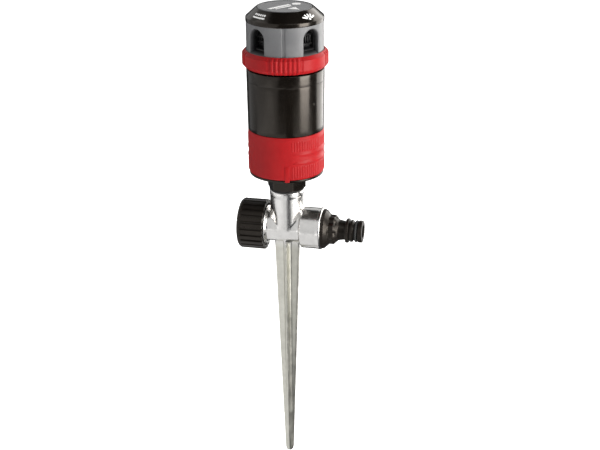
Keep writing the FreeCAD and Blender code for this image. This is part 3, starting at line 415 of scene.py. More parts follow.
def cast_zinc(name):
    """Tumbled die-cast zinc: bright on the tee, duller and mottled down the spike.

    The change from one to the other lies just above and below the underside of the tee."""
    material, nodes, links, shader = new_material(name)
    space = object_space(nodes, links)
    coordinates = nodes.new("ShaderNodeTexCoord")
    split = nodes.new("ShaderNodeSeparateXYZ")
    links.new(coordinates.outputs["Object"], split.inputs["Vector"])
    down = nodes.new("ShaderNodeMapRange")
    down.inputs["From Min"].default_value = 2.0 * MM
    down.inputs["From Max"].default_value = -6.0 * MM
    links.new(split.outputs["Z"], down.inputs["Value"])

    def blend(tee_colour, spike_colour):
        mix = nodes.new("ShaderNodeMix")
        mix.data_type = "RGBA"
        links.new(down.outputs["Result"], mix.inputs["Factor"])
        links.new(tee_colour, mix.inputs["A"])
        links.new(spike_colour, mix.inputs["B"])
        return mix.outputs["Result"]

    mottle = noise(nodes, links, space, 0.16, 6.0, 0.62)
    tee = ramp(nodes, links, mottle, [(0.3, (0.73, 0.715, 0.695)), (0.7, (0.82, 0.805, 0.785))])
    spike = ramp(nodes, links, mottle, [(0.3, (0.56, 0.55, 0.49)), (0.7, (0.72, 0.71, 0.64))])
    links.new(blend(tee, spike), shader.inputs["Base Color"])
    streaks = noise(nodes, links, object_space(nodes, links, (1.0, 1.0, 0.12)), 0.5, 4.0)
    tee_rough = ramp(nodes, links, streaks, [(0.3, 0.19), (0.7, 0.27)])
    spike_rough = ramp(nodes, links, mottle, [(0.3, 0.28), (0.7, 0.42)])
    links.new(blend(tee_rough, spike_rough), shader.inputs["Roughness"])
    pits = noise(nodes, links, space, 1.6, 3.0, 0.6)
    bump(nodes, links, [(pits, 0.03, 0.2), (noise(nodes, links, space, 0.14, 3.0), 0.3, 0.1)], shader)
    shader.inputs["Metallic"].default_value = 1.0
    return material


def steel(name):
    """Brushed steel, for the screws, pins and springs inside."""
    material, nodes, links, shader = new_material(name)
    space = object_space(nodes, links, (1.0, 1.0, 6.0))
    brush = noise(nodes, links, space, 2.0, 4.0)
    links.new(ramp(nodes, links, brush, [(0.3, 0.48), (0.7, 0.62)]), shader.inputs["Base Color"])
    links.new(ramp(nodes, links, brush, [(0.3, 0.2), (0.7, 0.36)]), shader.inputs["Roughness"])
    bump(nodes, links, [(brush, 0.01, 0.4)], shader)
    shader.inputs["Metallic"].default_value = 1.0
    return material


# Slots of the record, each with the material that its pieces wear.
WARM_SHEEN = (1.0, 0.90, 0.80)
MATERIALS = {
    "zinc": cast_zinc("zinc_casting"),
    "black_gloss": plastic("black_gloss", (0.0022, 0.0016, 0.0011), (0.0040, 0.0030, 0.0022), 0.14, 0.21,
                           grain=0.005, specular=0.42, scratch=0.010, tint=WARM_SHEEN),
    "black_matte": plastic("black_satin", (0.0050, 0.0040, 0.0033), (0.0090, 0.0075, 0.0063), 0.28, 0.38,
                           grain=0.03, specular=0.28, tint=WARM_SHEEN),
    "nozzle_black": plastic("nozzle_black", (0.004, 0.004, 0.004), (0.008, 0.008, 0.008), 0.26, 0.36,
                            grain=0.02, specular=0.3),
    "red_plastic": plastic("red_plastic", (0.235, 0.0040, 0.0055), (0.265, 0.0058, 0.0072), 0.32, 0.42,
                           grain=0.012, specular=0.13),
    # The grey turret's depth paints shade into its window tunnels, darker further in.
    "grey_plastic": plastic("grey_plastic", (0.090, 0.091, 0.094), (0.108, 0.109, 0.112), 0.38, 0.48,
                            grain=0.03, depth=(23.2, 26.1, 0.10)),
    "disc_plastic": plastic("disc_plastic", (0.050, 0.051, 0.053), (0.065, 0.066, 0.068), 0.14, 0.22,
                            grain=0.004, scratch=0.004),
    "white_print": plastic("white_print", (0.84, 0.84, 0.83), (0.92, 0.92, 0.91), 0.4, 0.5, grain=0.01),
    "white_plastic": plastic("natural_acetal", (0.70, 0.69, 0.64), (0.80, 0.79, 0.75), 0.34, 0.44,
                             grain=0.02),
    "rubber": plastic("black_rubber", (0.016, 0.016, 0.016), (0.026, 0.026, 0.026), 0.55, 0.7, grain=0.05,
                      specular=0.35),
    "steel": steel("plain_steel"),
}


def dress_cad_nodes():
    """Every carried-over node gets the material of its own slot."""
    for entry in frame["record"]["subparts"]:
        thing = frame["nodes"][entry["node"]]
        thing.data.materials.clear()
        thing.data.materials.append(MATERIALS[entry["material_slot"]])
        shade(thing, 30.0)


# ---- casting, adapter, end cap ----------------------------------------------------------

# The spike's cross: wall thickness at the edges and at the root, for the wide wall and for the
# rib across it, then its widths and how far its blunt point and its top reach.
SPIKE_EDGE = 2.2
SPIKE_ROOT = 3.6
RIB_EDGE = 1.7
RIB_ROOT = 3.8
SPIKE_WIDTH = 18.5
SPIKE_TIP_WIDTH = 6.3
SPIKE_RIB_LESS = 3.0
SPIKE_POINT = 3.0
SPIKE_INTO_TEE = 4.6
CAST_VOXEL = 0.42
THREAD_PITCH = 1.814


def spike_section(width, rib, share):
    """The spike's cross-shaped section, drafted towards its edges; share thins it."""
    edge, root = SPIKE_EDGE * share / 2, SPIKE_ROOT * share / 2
    rib_edge, rib_root = RIB_EDGE * share / 2, RIB_ROOT * share / 2
    quarter = [(width / 2, -edge + 0.3), (width / 2 - 0.3, -edge), (rib_root + 0.9, -root),
               (rib_root, -root - 0.9), (rib_edge, -rib / 2 + 0.3), (rib_edge - 0.3, -rib / 2)]
    left = [(-x, y) for x, y in reversed(quarter)]
    front = quarter + left
    return front + [(-x, -y) for x, y in front]


def spike_mesh(low, top):
    """The spike as a stack of sections from its blunt point up into the tee.

    Each level holds its height, how far the point pinches it and how thin its walls are."""
    tip, shoulder = SPIKE_TIP_WIDTH, low + SPIKE_POINT
    levels = [(low, 0.5, 0.55), (low + 0.8, 0.8, 0.75), (shoulder, 1.0, 0.85)]
    count = 24
    levels += [(shoulder - shoulder * k / count, 1.0, 0.85 + 0.15 * k / count)
               for k in range(1, count + 1)] + [(top, 1.0, 1.0)]
    points, faces = [], []
    for z, pinch, share in levels:
        climb = min(1.0, max(0.0, (z - shoulder) / -shoulder))
        width = (tip + (SPIKE_WIDTH - tip) * climb) * pinch
        rib = (tip + (SPIKE_WIDTH - SPIKE_RIB_LESS - tip) * climb) * pinch
        points += [(x, y, z) for x, y in spike_section(width, rib, share)]
    size = len(points) // len(levels)
    for i in range(len(levels) - 1):
        faces += band(i * size, (i + 1) * size, size)
    faces.append(tuple(range(size - 1, -1, -1)))
    faces.append(tuple((len(levels) - 1) * size + j for j in range(size)))
    return tidy_mesh(make_mesh("spike", points, faces))


def make_casting():
    """Tee, riser, socket, flange, thread and spike in one skin, with the bores cut in it."""
    low, high = span("spike_casting")
    axis = tee_height()
    rim_r, socket_r = 12.2, 14.75
    tube_r, riser_r = 11.3, 11.9
    flange_left = span("end_cap")[1].x + 1.1
    tube = lathe("tube", [(0, flange_left - 1), (tube_r, flange_left - 1), (tube_r, 12.6), (0, 12.6)],
                 96, about="X")
    bead_r = socket_r + 0.35
    socket = lathe("socket", rounded([
        (0, 10.4), (tube_r, 10.4), (socket_r, 11.8, 0.8), (socket_r, high.x - 2.4, 0.3),
        (bead_r, high.x - 1.9, 0.3), (bead_r, high.x, 0.5), (0, high.x)]), 128, about="X")
    flange = lathe("flange", rounded([(0, flange_left - 1.7), (14.2, flange_left - 1.7, 0.3),
                                      (14.2, flange_left, 0.3), (0, flange_left)]), 128, about="X")
    riser = lathe("riser", rounded([
        (0, axis), (riser_r, axis), (riser_r, high.z - 4.0, 0.4), (rim_r, high.z - 3.5, 0.3),
        (rim_r, high.z, 0.35), (0, high.z)]), 128)
    start = low.x

    def helix(angle, r, x):
        place = ((x - start) / THREAD_PITCH - angle / TURN) % 1.0
        crest = np.clip(1.5 - np.abs(place - 0.5) * 4, 0, 1)
        return np.where(r > 5, r - 0.9 * (1 - crest) * zone(x, start + 0.6, start + 10.5, 0.5), r)

    outline = refined(rounded([(0, start), (13.2, start, 0.6), (13.2, start + 12.5), (0, start + 12.5)]),
                      0.2, closed=False)
    thread = lathe("thread", outline, 128, about="X", relief=helix)
    spike = spike_mesh(low.z, SPIKE_INTO_TEE)
    solid = merged("casting", [tube, socket, flange, riser, thread, spike])
    apply_modifier(solid, "REMESH", mode="VOXEL", voxel_size=CAST_VOXEL * MM)
    apply_modifier(solid, "SMOOTH", factor=0.5, iterations=12)

    def bore(name, r, start, end, segments, about):
        return lathe(name, [(0, start), (r, start), (r, end), (0, end)], segments, about=about)

    subtract(solid, [bore("run", 8.0, start - 1, high.x - 3, 64, "X"),
                     bore("mouth", 13.3, high.x - 12.0, high.x + 1, 96, "X"),
                     bore("rise", 8.0, axis, high.z - 5, 64, "Z"),
                     bore("seat", 10.48, high.z - 11, high.z + 1, 96, "Z")])
    shade(solid, 40.0)
    finish_piece(solid, "root", MATERIALS["zinc"], "zinc", "spike_casting")


def make_adapter():
    low, high = span("hose_adapter")
    face = span("spike_casting")[1].x
    end = high.x
    ring = face + 16.9
    outline = refined(rounded([
        (7.2, low.x), (13.1, low.x, 0.3), (13.1, face - 0.02), (14.25, face + 0.02, 0.35),
        (13.8, face + 2.0, 0.5), (12.0, face + 3.8, 0.6), (10.6, face + 5.2, 0.6), (10.6, face + 8.6, 1.0),
        (7.4, face + 11.6, 1.6), (6.65, ring - 0.3, 0.4), (8.7, ring, 0.35), (8.7, ring + 2.0, 0.35),
        (6.8, ring + 2.2, 0.3), (6.8, ring + 3.0, 0.3), (7.9, ring + 3.2, 0.3), (7.9, ring + 4.8, 0.3),
        (6.9, ring + 5.1, 0.2), (6.3, end - 5.6), (6.1, end - 3.6), (6.9, end - 3.3, 0.2),
        (7.9, end - 2.9, 0.3), (7.9, end, 0.7),
        (4.6, end, 0.3), (4.6, face + 4), (7.2, face - 2)]), 0.5)

    def relief(angle, r, x):
        grip = zone(x, face + 5.2, face + 9.6, 1.0) * (r > 8)
        lobes = np.abs(np.sin(angle * 4 + 0.35)) ** 0.8
        ribs = zone(x, face + 0.5, face + 1.9, 0.4) * (r > 12.5) * wave(angle, 48, 0.5, 0.5) * 0.3
        return r - grip * (1 - lobes) * 1.25 - ribs

    body = lathe("adapter_body", outline, 288, about="X", relief=relief)
    finish_piece(body, "root", MATERIALS["black_matte"], "black_gloss", "hose_adapter")


def make_end_cap():
    low, high = span("end_cap")
    r = (high.z - low.z) / 2
    outline = refined(rounded([
        (0, low.x + 0.5), (r - 5.0, low.x + 0.5, 0.4), (r - 4.4, low.x, 0.4), (r - 1.2, low.x, 1.1),
        (r, low.x + 1.6, 1.2), (r, high.x, 0.5), (15.2, high.x, 0.4), (15.2, high.x - 1.9, 0.2),
        (13.55, high.x - 1.9, 0.4), (13.55, low.x + 3.1), (0, low.x + 3.1)]), 0.35, closed=False)

    def relief(angle, radius_, x):
        outside = radius_ > r - 1.0
        dip = wave(angle, 24, 0.34, 0.16) * ease((x - low.x - 2.2) / 0.6) * 1.1
        return radius_ - dip * outside

    cap = lathe("end_cap_body", outline, 24 * 24, about="X", relief=relief)
    finish_piece(cap, "outlet_cap", MATERIALS["black_matte"], "black_matte", "end_cap")


# ---- coupling and base ------------------------------------------------------------------

def make_coupling():
    low, high = span("inlet_coupling")
    washer_low, washer_top = heights("head_washer")
    hex_top = heights("base_housing")[0]
    flat = 12.1
    washer = lathe("washer_ring", rounded([(10.5, washer_low), (12.3, washer_low, 0.5),
                                           (12.3, washer_top, 0.5), (10.5, washer_top)]), 128)
    finish_piece(washer, "root", MATERIALS["rubber"], "rubber", "head_washer")
    corner = flat / math.cos(math.radians(30))
    outline = refined(rounded([
        (7.6, low.z), (10.3, low.z, 0.3), (10.3, washer_top), (flat - 0.1, washer_top, 0.3),
        (corner, washer_top + 1.3, 0.4), (corner, hex_top - 1.1, 0.3), (flat - 0.1, hex_top, 0.3),
        (9.6, hex_top), (9.6, high.z, 0.2), (7.6, high.z)]), 0.6)

    def relief(angle, r, z):
        sector = (angle % (TURN / 6)) - TURN / 12
        across = flat / np.cos(sector)
        soft = np.minimum(across, corner - 0.25)
        return np.where(r > flat - 0.6, np.minimum(r, soft), r)

    nut = lathe("coupling_body", outline, 360, relief=relief, crease=28.0)
    finish_piece(nut, "root", MATERIALS["black_gloss"], "black_gloss", "inlet_coupling")


def make_base():
    low, high = heights("base_housing")
    r = radius("base_housing")
    outline = refined(rounded([
        (9.7, low), (13.6, low, 0.3), (14.2, low + 0.8, 0.3), (21.4, low + 0.8, 0.3), (22.0, low, 0.3),
        (r - 0.1, low, 0.4), (r, low + 1.6, 0.3), (24.0, low + 1.6), (24.0, high, 0.3), (22.0, high, 0.3),
        (22.0, low + 4.0), (12.4, low + 4.0), (12.4, low + 6.5), (9.7, low + 6.5)]), 1.2)
    base = lathe("base_body", outline, 192)
    finish_piece(base, "root", MATERIALS["black_gloss"], "black_gloss", "base_housing")


# ---- flow collar, body shell, arc ring --------------------------------------------------

UPPER_RIBS = (76.4, 82.6)
LOWER_RIBS_TOP = 64.8
FINGER_RIDGES = (67.3, 73.5)
POINTER_TURN = -75.7


def make_flow_collar():
    low, high = span("flow_collar")
    bottom, top = low.z + 1.4, high.z
    r = (high.x - low.x) / 2 - 0.35
    inner = 24.4
    outline = refined(rounded([
        (inner, bottom), (r - 0.5, bottom, 0.3), (r, bottom + 1.0, 0.6), (r, top, 0.35),
        (inner, top)]), 0.4)

    def relief(angle, radius_, z):
        side = facing(angle, CAMERA_AZIMUTH)
        outside = radius_ > r - 0.5
        grip = np.zeros_like(side)
        fine = np.zeros_like(side)
        for turn in (0.0, 180.0):
            across = (side - turn + 180.0) % 360.0 - 180.0
            ends = ease((across - 6.0) / 4.0) * ease((102.0 - across) / 4.0)
            fine += ends * zone(z, *UPPER_RIBS, 0.6) + ends * zone(z, bottom + 1.4, LOWER_RIBS_TOP, 0.6)
            for ridge in FINGER_RIDGES:
                half = 0.2 + 1.9 * ease((across - 8.0) / 30.0) * ease((106.0 - across) / 12.0)
                grip += (half > 0.25) * ease(1 - np.abs(z - ridge) / half)
        rise = 0.1 + 0.22 * fine * wave(angle, 88, 0.42, 0.4) + 0.42 * grip
        return np.where(outside, radius_ + rise, radius_)

    ring = lathe("flow_collar_body", outline, 960, relief=relief)
    pointer = pointer_rib(r, bottom)
    collar = merged("flow_collar_ring", [ring, pointer])
    finish_piece(collar, "flow_control", MATERIALS["red_plastic"], "red_plastic", "flow_collar")


def pointer_rib(r, bottom):
    """The collar's pointer: a raised rib that runs below the rim."""
    return block("pointer", (1.4, 3.4, 11.8), (r - 0.35, 0, bottom + 4.5), POINTER_TURN, edge=0.5)


def make_body_shell():
    low, high = heights("body_shell")
    seam, ceiling, deck = 120.8, 124.8, 128.8
    inner, neck_r, neck_bore = 24.15, 14.8, 13.2
    r = radius("body_shell")
    outline = refined(rounded([
        (inner, low), (26.4, low, 0.25), (26.72, seam - 0.4, 0.2), (26.5, seam, 0.15),
        (26.74, seam + 0.4, 0.2), (r, deck, 0.4), (neck_r, deck), (neck_r, high, 0.3), (neck_bore, high),
        (neck_bore, ceiling), (inner, ceiling)]), 3.0)
    shell = lathe("body_shell_wall", outline, 256)
    pip = lathe("gate_pip", [(0, 0), (0.85, 0), (0.78, 0.2), (0.6, 0.38), (0.32, 0.5), (0, 0.54)], 24,
                crease=80.0)
    aim = math.radians(-90 + CAMERA_AZIMUTH + 45.0)
    out = Vector((math.cos(aim), math.sin(aim), 0))
    pip.data.transform(Matrix.Translation((out * 26.5 + Vector((0, 0, 107.5))) * MM)
                       @ Vector((0, 0, 1)).rotation_difference(out).to_matrix().to_4x4())
    finish_piece(merged("body_shell_body", [shell, pip]), "root", MATERIALS["black_gloss"], "black_gloss",
                 "body_shell")


def make_arc_ring():
    bottom, top = heights("arc_ring")
    r, edge, step, bore, flange_bore, skirt = 29.2, 27.0, 26.7, 24.9, 19.5, 25.2
    step_z, flange_top, flange_low = 139.4, 135.7, 133.4
    outline = refined(rounded([
        (skirt, bottom + 0.4), (edge + 0.2, bottom + 0.6, 0.3), (r, bottom + 2.9, 0.5),
        (r, top - 2.3, 0.5), (edge, top, 0.35), (step, top), (step, step_z), (bore, step_z),
        (bore, flange_top), (flange_bore, flange_top), (flange_bore, flange_low),
        (skirt, flange_low)]), 0.4)

    def relief(angle, radius_, z):
        outside = radius_ > edge - 0.2
        ribs = np.zeros_like(angle)
        hollow = np.zeros_like(angle)
        for group in range(4):
            side = facing(angle, CAMERA_AZIMUTH + 90.0 * group)
            ribs += zone(side, -21.0, 21.0, 0.6) * wave(np.radians(side + 3.0), 60, 0.52, 0.45)
            hollow += zone(side, -23.5, 23.5, 1.5)
        tall = zone(z, bottom + 1.2, top - 1.2, 1.2)
        return np.where(outside, radius_ + (ribs * 0.62 - hollow * 0.35) * tall, radius_)

    ring = lathe("arc_ring_body", outline, 1080, relief=relief)
    tab = block("arc_tab", (3.7, 2.6, 3.0), (21.75, 0, 132.0), 75.0)
    finish_piece(merged("arc_ring_band", [ring, tab]), "arc_stop", MATERIALS["red_plastic"], "red_plastic",
                 "arc_ring")


# ---- turret with windows, nozzles, cap and disc -----------------------------------------

NOZZLES = ("nozzle_fan", "nozzle_jet", "nozzle_mist", "nozzle_flat")
WINDOW_HALF = 6.6
WINDOW_LOW = 142.0
WINDOW_TOP = 159.1
WINDOW_SPRING = WINDOW_TOP - WINDOW_HALF
OUTLET_ANGLE = -33.8
ARCH_POINTS = 24
NOZZLE_FACE = 19.4
NOZZLE_MIDDLE = 151.3
WALL_THICKNESS = 1.1


def arch_loop(grow):
    """The window's outline (side, height), grown by grow; corners at the sill are square."""
    half = WINDOW_HALF + grow
    low = WINDOW_LOW - grow
    points = [(half, low + (WINDOW_SPRING - low) * k / ARCH_POINTS) for k in range(ARCH_POINTS)]
    points += [(half * math.cos(math.pi * k / (2 * ARCH_POINTS)),
                WINDOW_SPRING + half * math.sin(math.pi * k / (2 * ARCH_POINTS)))
               for k in range(2 * ARCH_POINTS)]
    points += [(-half, WINDOW_SPRING + (low - WINDOW_SPRING) * k / ARCH_POINTS) for k in range(ARCH_POINTS)]
    points += [(-half + 2 * half * k / ARCH_POINTS, low) for k in range(ARCH_POINTS)]
    return np.array(points)


def field_loop(half_width, bottom, top):
    """The same number of points round one quarter of the wall, as a rectangle."""
    points = [(half_width, bottom + (top - bottom) * k / ARCH_POINTS) for k in range(ARCH_POINTS)]
    points += [(half_width * (1 - k / ARCH_POINTS), top) for k in range(2 * ARCH_POINTS)]
    points += [(-half_width, top + (bottom - top) * k / ARCH_POINTS) for k in range(ARCH_POINTS)]
    points += [(-half_width + 2 * half_width * k / ARCH_POINTS, bottom) for k in range(ARCH_POINTS)]
    return np.array(points)


def tunnel_loop(depth, shrink, sill):
    """A window's outline at one depth, drawn in by shrink, with its sill raised."""
    loop = arch_loop(-shrink)
    base = WINDOW_LOW + shrink
    return [(depth, side, max(height, base + sill)) for side, height in loop]


def turret_quarter(r, bottom, top):
    """Loops from inside a window out over its rounded edge to the quarter's border.

    Each loop holds (outward distance, side, height) in the window's own frame, where the
    wall is the cylinder of radius r."""
    quarter = math.radians(45.0)
    groove_half, groove_soft, groove_deep = 1.0 / r, 0.5 / r, 0.6
    loops = []
    for depth, shrink, sill in ((NOZZLE_FACE - 1.4, 0.9, 1.9), (NOZZLE_FACE, 0.8, 1.6), (21.5, 0.55, 1.1),
                                (23.5, 0.3, 0.6)):
        loops.append(tunnel_loop(depth, shrink, sill))
    fillet = 0.9
    for k in range(5):
        bend = math.radians(90.0 * k / 4)
        grow = fillet * (1 - math.cos(bend))
        sunk = fillet * (1 - math.sin(bend))
        loop = arch_loop(grow)
        loops.append([(math.sqrt(max(r * r - side * side, 1.0)) - sunk, side, height)
                      for side, height in loop])
    inner = [(math.asin(side / r), height) for side, height in arch_loop(fillet)]
    border = field_loop(quarter, bottom, top)
    shares = [0.12, 0.25, 0.4, 0.55, 0.7, 0.82, 0.9]
    shares += [1 - (groove_half + groove_soft) / quarter, 1 - groove_half / quarter, 1.0]
    for share in shares:
        loop = []
        for (a, height), (b, edge) in zip(inner, border):
            angle = a + (b - a) * share
            loop.append((angle, height + (edge - height) * share))
        loops.append([polar(r, angle, height, quarter, groove_half, groove_soft, groove_deep)
                      for angle, height in loop])
    return loops


def polar(r, angle, height, quarter, half, soft, deep):
    """A point of the wall at an angle from the window, sunk where it lies in the groove."""
    into = 1 - min(1.0, max(0.0, (quarter - abs(angle) - half) / soft))
    radius_ = r - deep * into * into * (3 - 2 * into)
    return radius_ * math.cos(angle), radius_ * math.sin(angle), height


def make_turret_shell():
    bottom, top = heights("turret_shell")
    r = radius("turret_shell")
    points, faces = [], []
    for window in range(4):
        spin = math.radians(OUTLET_ANGLE + 90.0 * window)
        loops = turret_quarter(r, bottom, top)
        for loop in loops:
            start = len(points)
            for out, side, height in loop:
                points.append((out * math.cos(spin) - side * math.sin(spin),
                               out * math.sin(spin) + side * math.cos(spin), height))
            if loop is not loops[0]:
                faces += band(start - len(loop), start, len(loop))
    wall = tidy_mesh(make_mesh("turret_wall", points, faces), merge=2e-6)
    lining = lathe("turret_lining", [(12.5, bottom), (r - 0.7, bottom), (r - 0.7, bottom + 1.7),
                                     (12.5, bottom + 1.7)], 128)
    apply_modifier(wall, "SOLIDIFY", thickness=WALL_THICKNESS * MM, offset=-1.0, use_even_offset=False)
    shade(wall, CREASE)
    finish_piece(merged("turret_body", [wall, lining]), "turret", MATERIALS["grey_plastic"], "grey_plastic",
                 "turret_shell")


def insert_cup(name):
    """A nozzle insert's body along +X: a plug whose thin black rim lines the tunnel's inner half; the rim
    is a dark lining that paints the shade on the tunnel walls.
    """
    # The outer steps make the rim: a black lining as painted shade over the tunnel walls.
    steps = ((13.2, 0.95, 1.9), (21.6, 0.75, 1.25), (22.1, 0.85, 1.25), (22.1, 1.25, 1.65),
             (21.6, 1.4, 1.8), (NOZZLE_FACE - 0.5, 1.7, 2.3))
    points, faces = [], []
    for depth, shrink, sill in steps:
        points += tunnel_loop(depth, shrink, sill)
    size = len(points) // len(steps)
    for i in range(len(steps) - 1):
        faces += band(i * size, (i + 1) * size, size)
    faces.append(tuple(range(size)))
    faces.append(tuple((len(steps) - 1) * size + j for j in reversed(range(size))))
    return tidy_mesh(make_mesh(name, points, faces))


def nozzle_details(kind):
    """What stands in front of an insert's plate, drawn along +X."""
    face, middle = NOZZLE_FACE - 0.4, NOZZLE_MIDDLE
    parts = []
    if kind == "nozzle_fan":
        parts += [block("fan_brow", (2.6, 9.6, 1.3), (face + 0.2, 0, middle + 3.0), edge=0.3),
                  block("fan_sill", (3.4, 9.6, 1.3), (face + 0.3, 0, middle - 3.2), edge=0.3)]
        parts += [block("fan_fin", (2.2, 0.7, 5.4), (face + 0.1, side, middle), edge=0.15)
                  for side in (-4.2, -2.1, 0.0, 2.1, 4.2)]
    elif kind == "nozzle_flat":
        parts += [block("flat_brow", (2.8, 9.0, 1.2), (face + 0.2, 0, middle + 1.7), edge=0.3),
                  block("flat_sill", (2.8, 9.0, 1.2), (face + 0.2, 0, middle - 1.7), edge=0.3)]
        parts += [block("flat_fin", (1.8, 0.6, 3.0), (face, side, middle), edge=0.12)
                  for side in (-3.4, -1.7, 1.7, 3.4)]
        parts += [block("flat_rib", (2.0, 0.9, 4.2), (face, side, middle + 4.4), edge=0.2)
                  for side in (-2.6, 0.0, 2.6)]
    elif kind == "nozzle_jet":
        tube = lathe("jet_tube", rounded([(2.1, 0), (3.7, 0), (3.3, 3.2, 0.3), (2.1, 3.2, 0.3)]), 48)
        tube.data.transform(Matrix.Translation(Vector((face - 0.6, 0, middle)) * MM)
                            @ Matrix.Rotation(math.radians(90), 4, "Y"))
        parts.append(tube)
    else:
        parts += [block("mist_peg", (1.6, 0.9, 0.9), (face + 0.2, 1.9 * k, middle + 1.9 * n), edge=0.2)
                  for k in (-1.5, -0.5, 0.5, 1.5) for n in (-1.5, -0.5, 0.5, 1.5)]
        parts.append(block("mist_frame", (1.2, 9.4, 0.9), (face, 0, middle + 4.4), edge=0.2))
    return parts


def make_nozzles():
    for k, kind in enumerate(NOZZLES):
        insert = merged(kind + "_insert", [insert_cup(kind + "_cup")] + nozzle_details(kind))
        insert.data.transform(Matrix.Rotation(math.radians(OUTLET_ANGLE + 90.0 * k), 4, "Z"))
        finish_piece(insert, "turret", MATERIALS["nozzle_black"], "nozzle_black", kind)


def cap_slope():
    """The bevel's lower and upper edge, as (radius, height)."""
    return (radius("turret_cap"), 164.1), (19.4, heights("turret_cap")[1] - 0.1)


def make_turret_cap():
    low = heights("turret_cap")[0]
    (r, brim), (crest, top) = cap_slope()
    hole, seat, seat_top, seat_low = crest - 0.5, 15.6, top - 2.2, top - 3.7
    spigot, spigot_bore, brim_low = 24.45, 23.0, 161.4
    outline = refined(rounded([
        (spigot, low), (spigot, brim_low), (r, brim_low, 0.25), (r, brim, 0.7), (crest, top, 0.5),
        (hole, top - 0.1, 0.25), (hole, seat_top), (seat, seat_top), (seat, seat_low), (hole + 1, seat_low),
        (spigot_bore, brim + 0.1), (spigot_bore, low)]), 2.0)
    cap = lathe("turret_cap_shell", outline, 256)
    finish_piece(cap, "turret", MATERIALS["black_gloss"], "black_gloss", "turret_cap")


def on_bevel(side, up, lift):
    """A place on the cap's bevel over +X: side along the rim, up the slope from its middle."""
    (r_low, z_low), (r_top, z_top) = cap_slope()
    along = np.array([r_top - r_low, z_top - z_low])
    length = np.linalg.norm(along)
    along /= length
    normal = np.array([along[1], -along[0]])
    here = np.array([r_low, z_low]) + along * (length / 2 + up) + normal * (lift + 0.05)
    angle = side / ((r_low + r_top) / 2)
    return here[0] * math.cos(angle), here[0] * math.sin(angle), here[1]


def print_grid(rows, place):
    """A thin raised print over rows of (left, right) flat points; place maps (side, up, lift)."""
    verts, faces = [], []
    for lift in (-0.12, 0.07):
        for left, right in rows:
            verts += [place(*(left + (right - left) * k / 4), lift) for k in range(5)]
    layer = 5 * len(rows)
    for i in range(len(rows) - 1):
        for k in range(4):
            a = i * 5 + k
            faces.append((a, a + 5, a + 6, a + 1))
            faces.append((layer + a, layer + a + 1, layer + a + 6, layer + a + 5))
        for a, b in ((i * 5, i * 5 + 5), (i * 5 + 9, i * 5 + 4)):
            faces.append((a, layer + a, layer + b, b))
    last = layer - 5
    for k in range(4):
        faces.append((k, k + 1, layer + k + 1, layer + k))
        faces.append((last + k + 1, last + k, layer + last + k, layer + last + k + 1))
    return tidy_mesh(make_mesh("print", verts, faces), merge=1e-7)


def stroke(points, width, place, tip=None):
    """A band of one width along flat points, or one that narrows evenly to tip."""
    points = refined(np.array(points, float), 0.4, closed=False)
    rows = []
    for i, point in enumerate(points):
        ahead = points[min(i + 1, len(points) - 1)] - points[max(i - 1, 0)]
        across = np.array([-ahead[1], ahead[0]]) / np.linalg.norm(ahead) / 2
        here = width if tip is None else width + (tip - width) * i / (len(points) - 1)
        rows.append((point + across * here, point - across * here))
    return print_grid(rows, place)


def blob(x, y, r, place, stretch=1.0):
    """A round print; with stretch it is drawn out along y."""
    rows = []
    for t in np.linspace(-1, 1, 11):
        half = max(math.sqrt(max(1 - t * t, 0)), 0.06) * r
        rows.append((np.array([x - half, y + t * r * stretch]), np.array([x + half, y + t * r * stretch])))
    return print_grid(rows, place)


def pictogram(kind, place):
    """A generic spray sign for one nozzle: rays, a level row, one jet or a cloud of drops."""
    if kind == "nozzle_fan":
        rays = []
        for k in range(-2, 3):
            tilt = math.radians(31 * k)
            rays.append(stroke([(math.sin(tilt) * reach * 1.3, -2.2 + math.cos(tilt) * reach)
                                for reach in (1.5, 4.3)], 0.8, place, 1.2))
        return rays + [blob(0, -2.0, 0.85, place)]
    if kind == "nozzle_flat":
        drops = [blob(-4.5 + 1.8 * k, 1.1, 0.62, place, 1.4) for k in range(6)]
        return drops + [stroke([(-5.2, -1.3), (5.2, -1.3)], 1.1, place)]
    if kind == "nozzle_jet":
        return [stroke([(0, -2.3), (0, 0.4)], 1.1, place), stroke([(0, 0.4), (0, 2.5)], 3.2, place, 0.15)]
    return [blob(1.9 * k + 0.95 * (n % 2), 1.6 * n, 0.5, place) for k in range(-2, 3) for n in (-1, 0, 1)]


def make_pictograms():
    for k, kind in enumerate(NOZZLES):
        sign = merged(kind.replace("nozzle", "sign"), pictogram(kind, on_bevel))
        sign.data.transform(Matrix.Rotation(math.radians(OUTLET_ANGLE + 90.0 * k), 4, "Z"))
        finish_piece(sign, "turret", MATERIALS["white_print"], "white_print")


def make_disc():
    high = heights("indicator_disc")[1]
    surface, brim = high - 0.25, high - 0.05
    r, stem = radius("indicator_disc"), 5.6
    underside, stem_low = 168.6, 162.0
    outline = refined(rounded([
        (0, surface), (r - 1.4, surface, 0.3), (r - 1.1, brim, 0.2), (r - 0.1, brim, 0.25), (r, underside),
        (stem, underside), (stem, stem_low), (0, stem_low)]), 2.0, closed=False)
    disc = lathe("top_disc", outline[::-1], 256)
    plug = block("disc_key", (8.0, 8.0, 4.0), (0, 0, 160.5), edge=0.2)
    finish_piece(merged("top_disc_body", [disc, plug]), "core", MATERIALS["disc_plastic"], "disc_plastic",
                 "indicator_disc")

    def on_disc(x, y, lift):
        return x, y, surface + lift

    arrow = stroke([(7.0, 0.0), (14.2, 0.0)], 7.0, on_disc, 0.15)
    dot = blob(-0.2, 10.8, 2.9, on_disc, 1.1)
    thick_bar = stroke([(-1.7, -12.8), (-1.7, 6.0)], 2.6, on_disc)
    thin_bar = stroke([(1.5, -9.6), (1.5, 4.4)], 1.5, on_disc)
    print_ = merged("disc_print", [arrow, dot, thick_bar, thin_bar])
    print_.data.transform(Matrix.Rotation(math.radians(OUTLET_ANGLE), 4, "Z"))
    finish_piece(print_, "core", MATERIALS["white_print"], "white_print")


# ---- floor, light and camera ------------------------------------------------------------

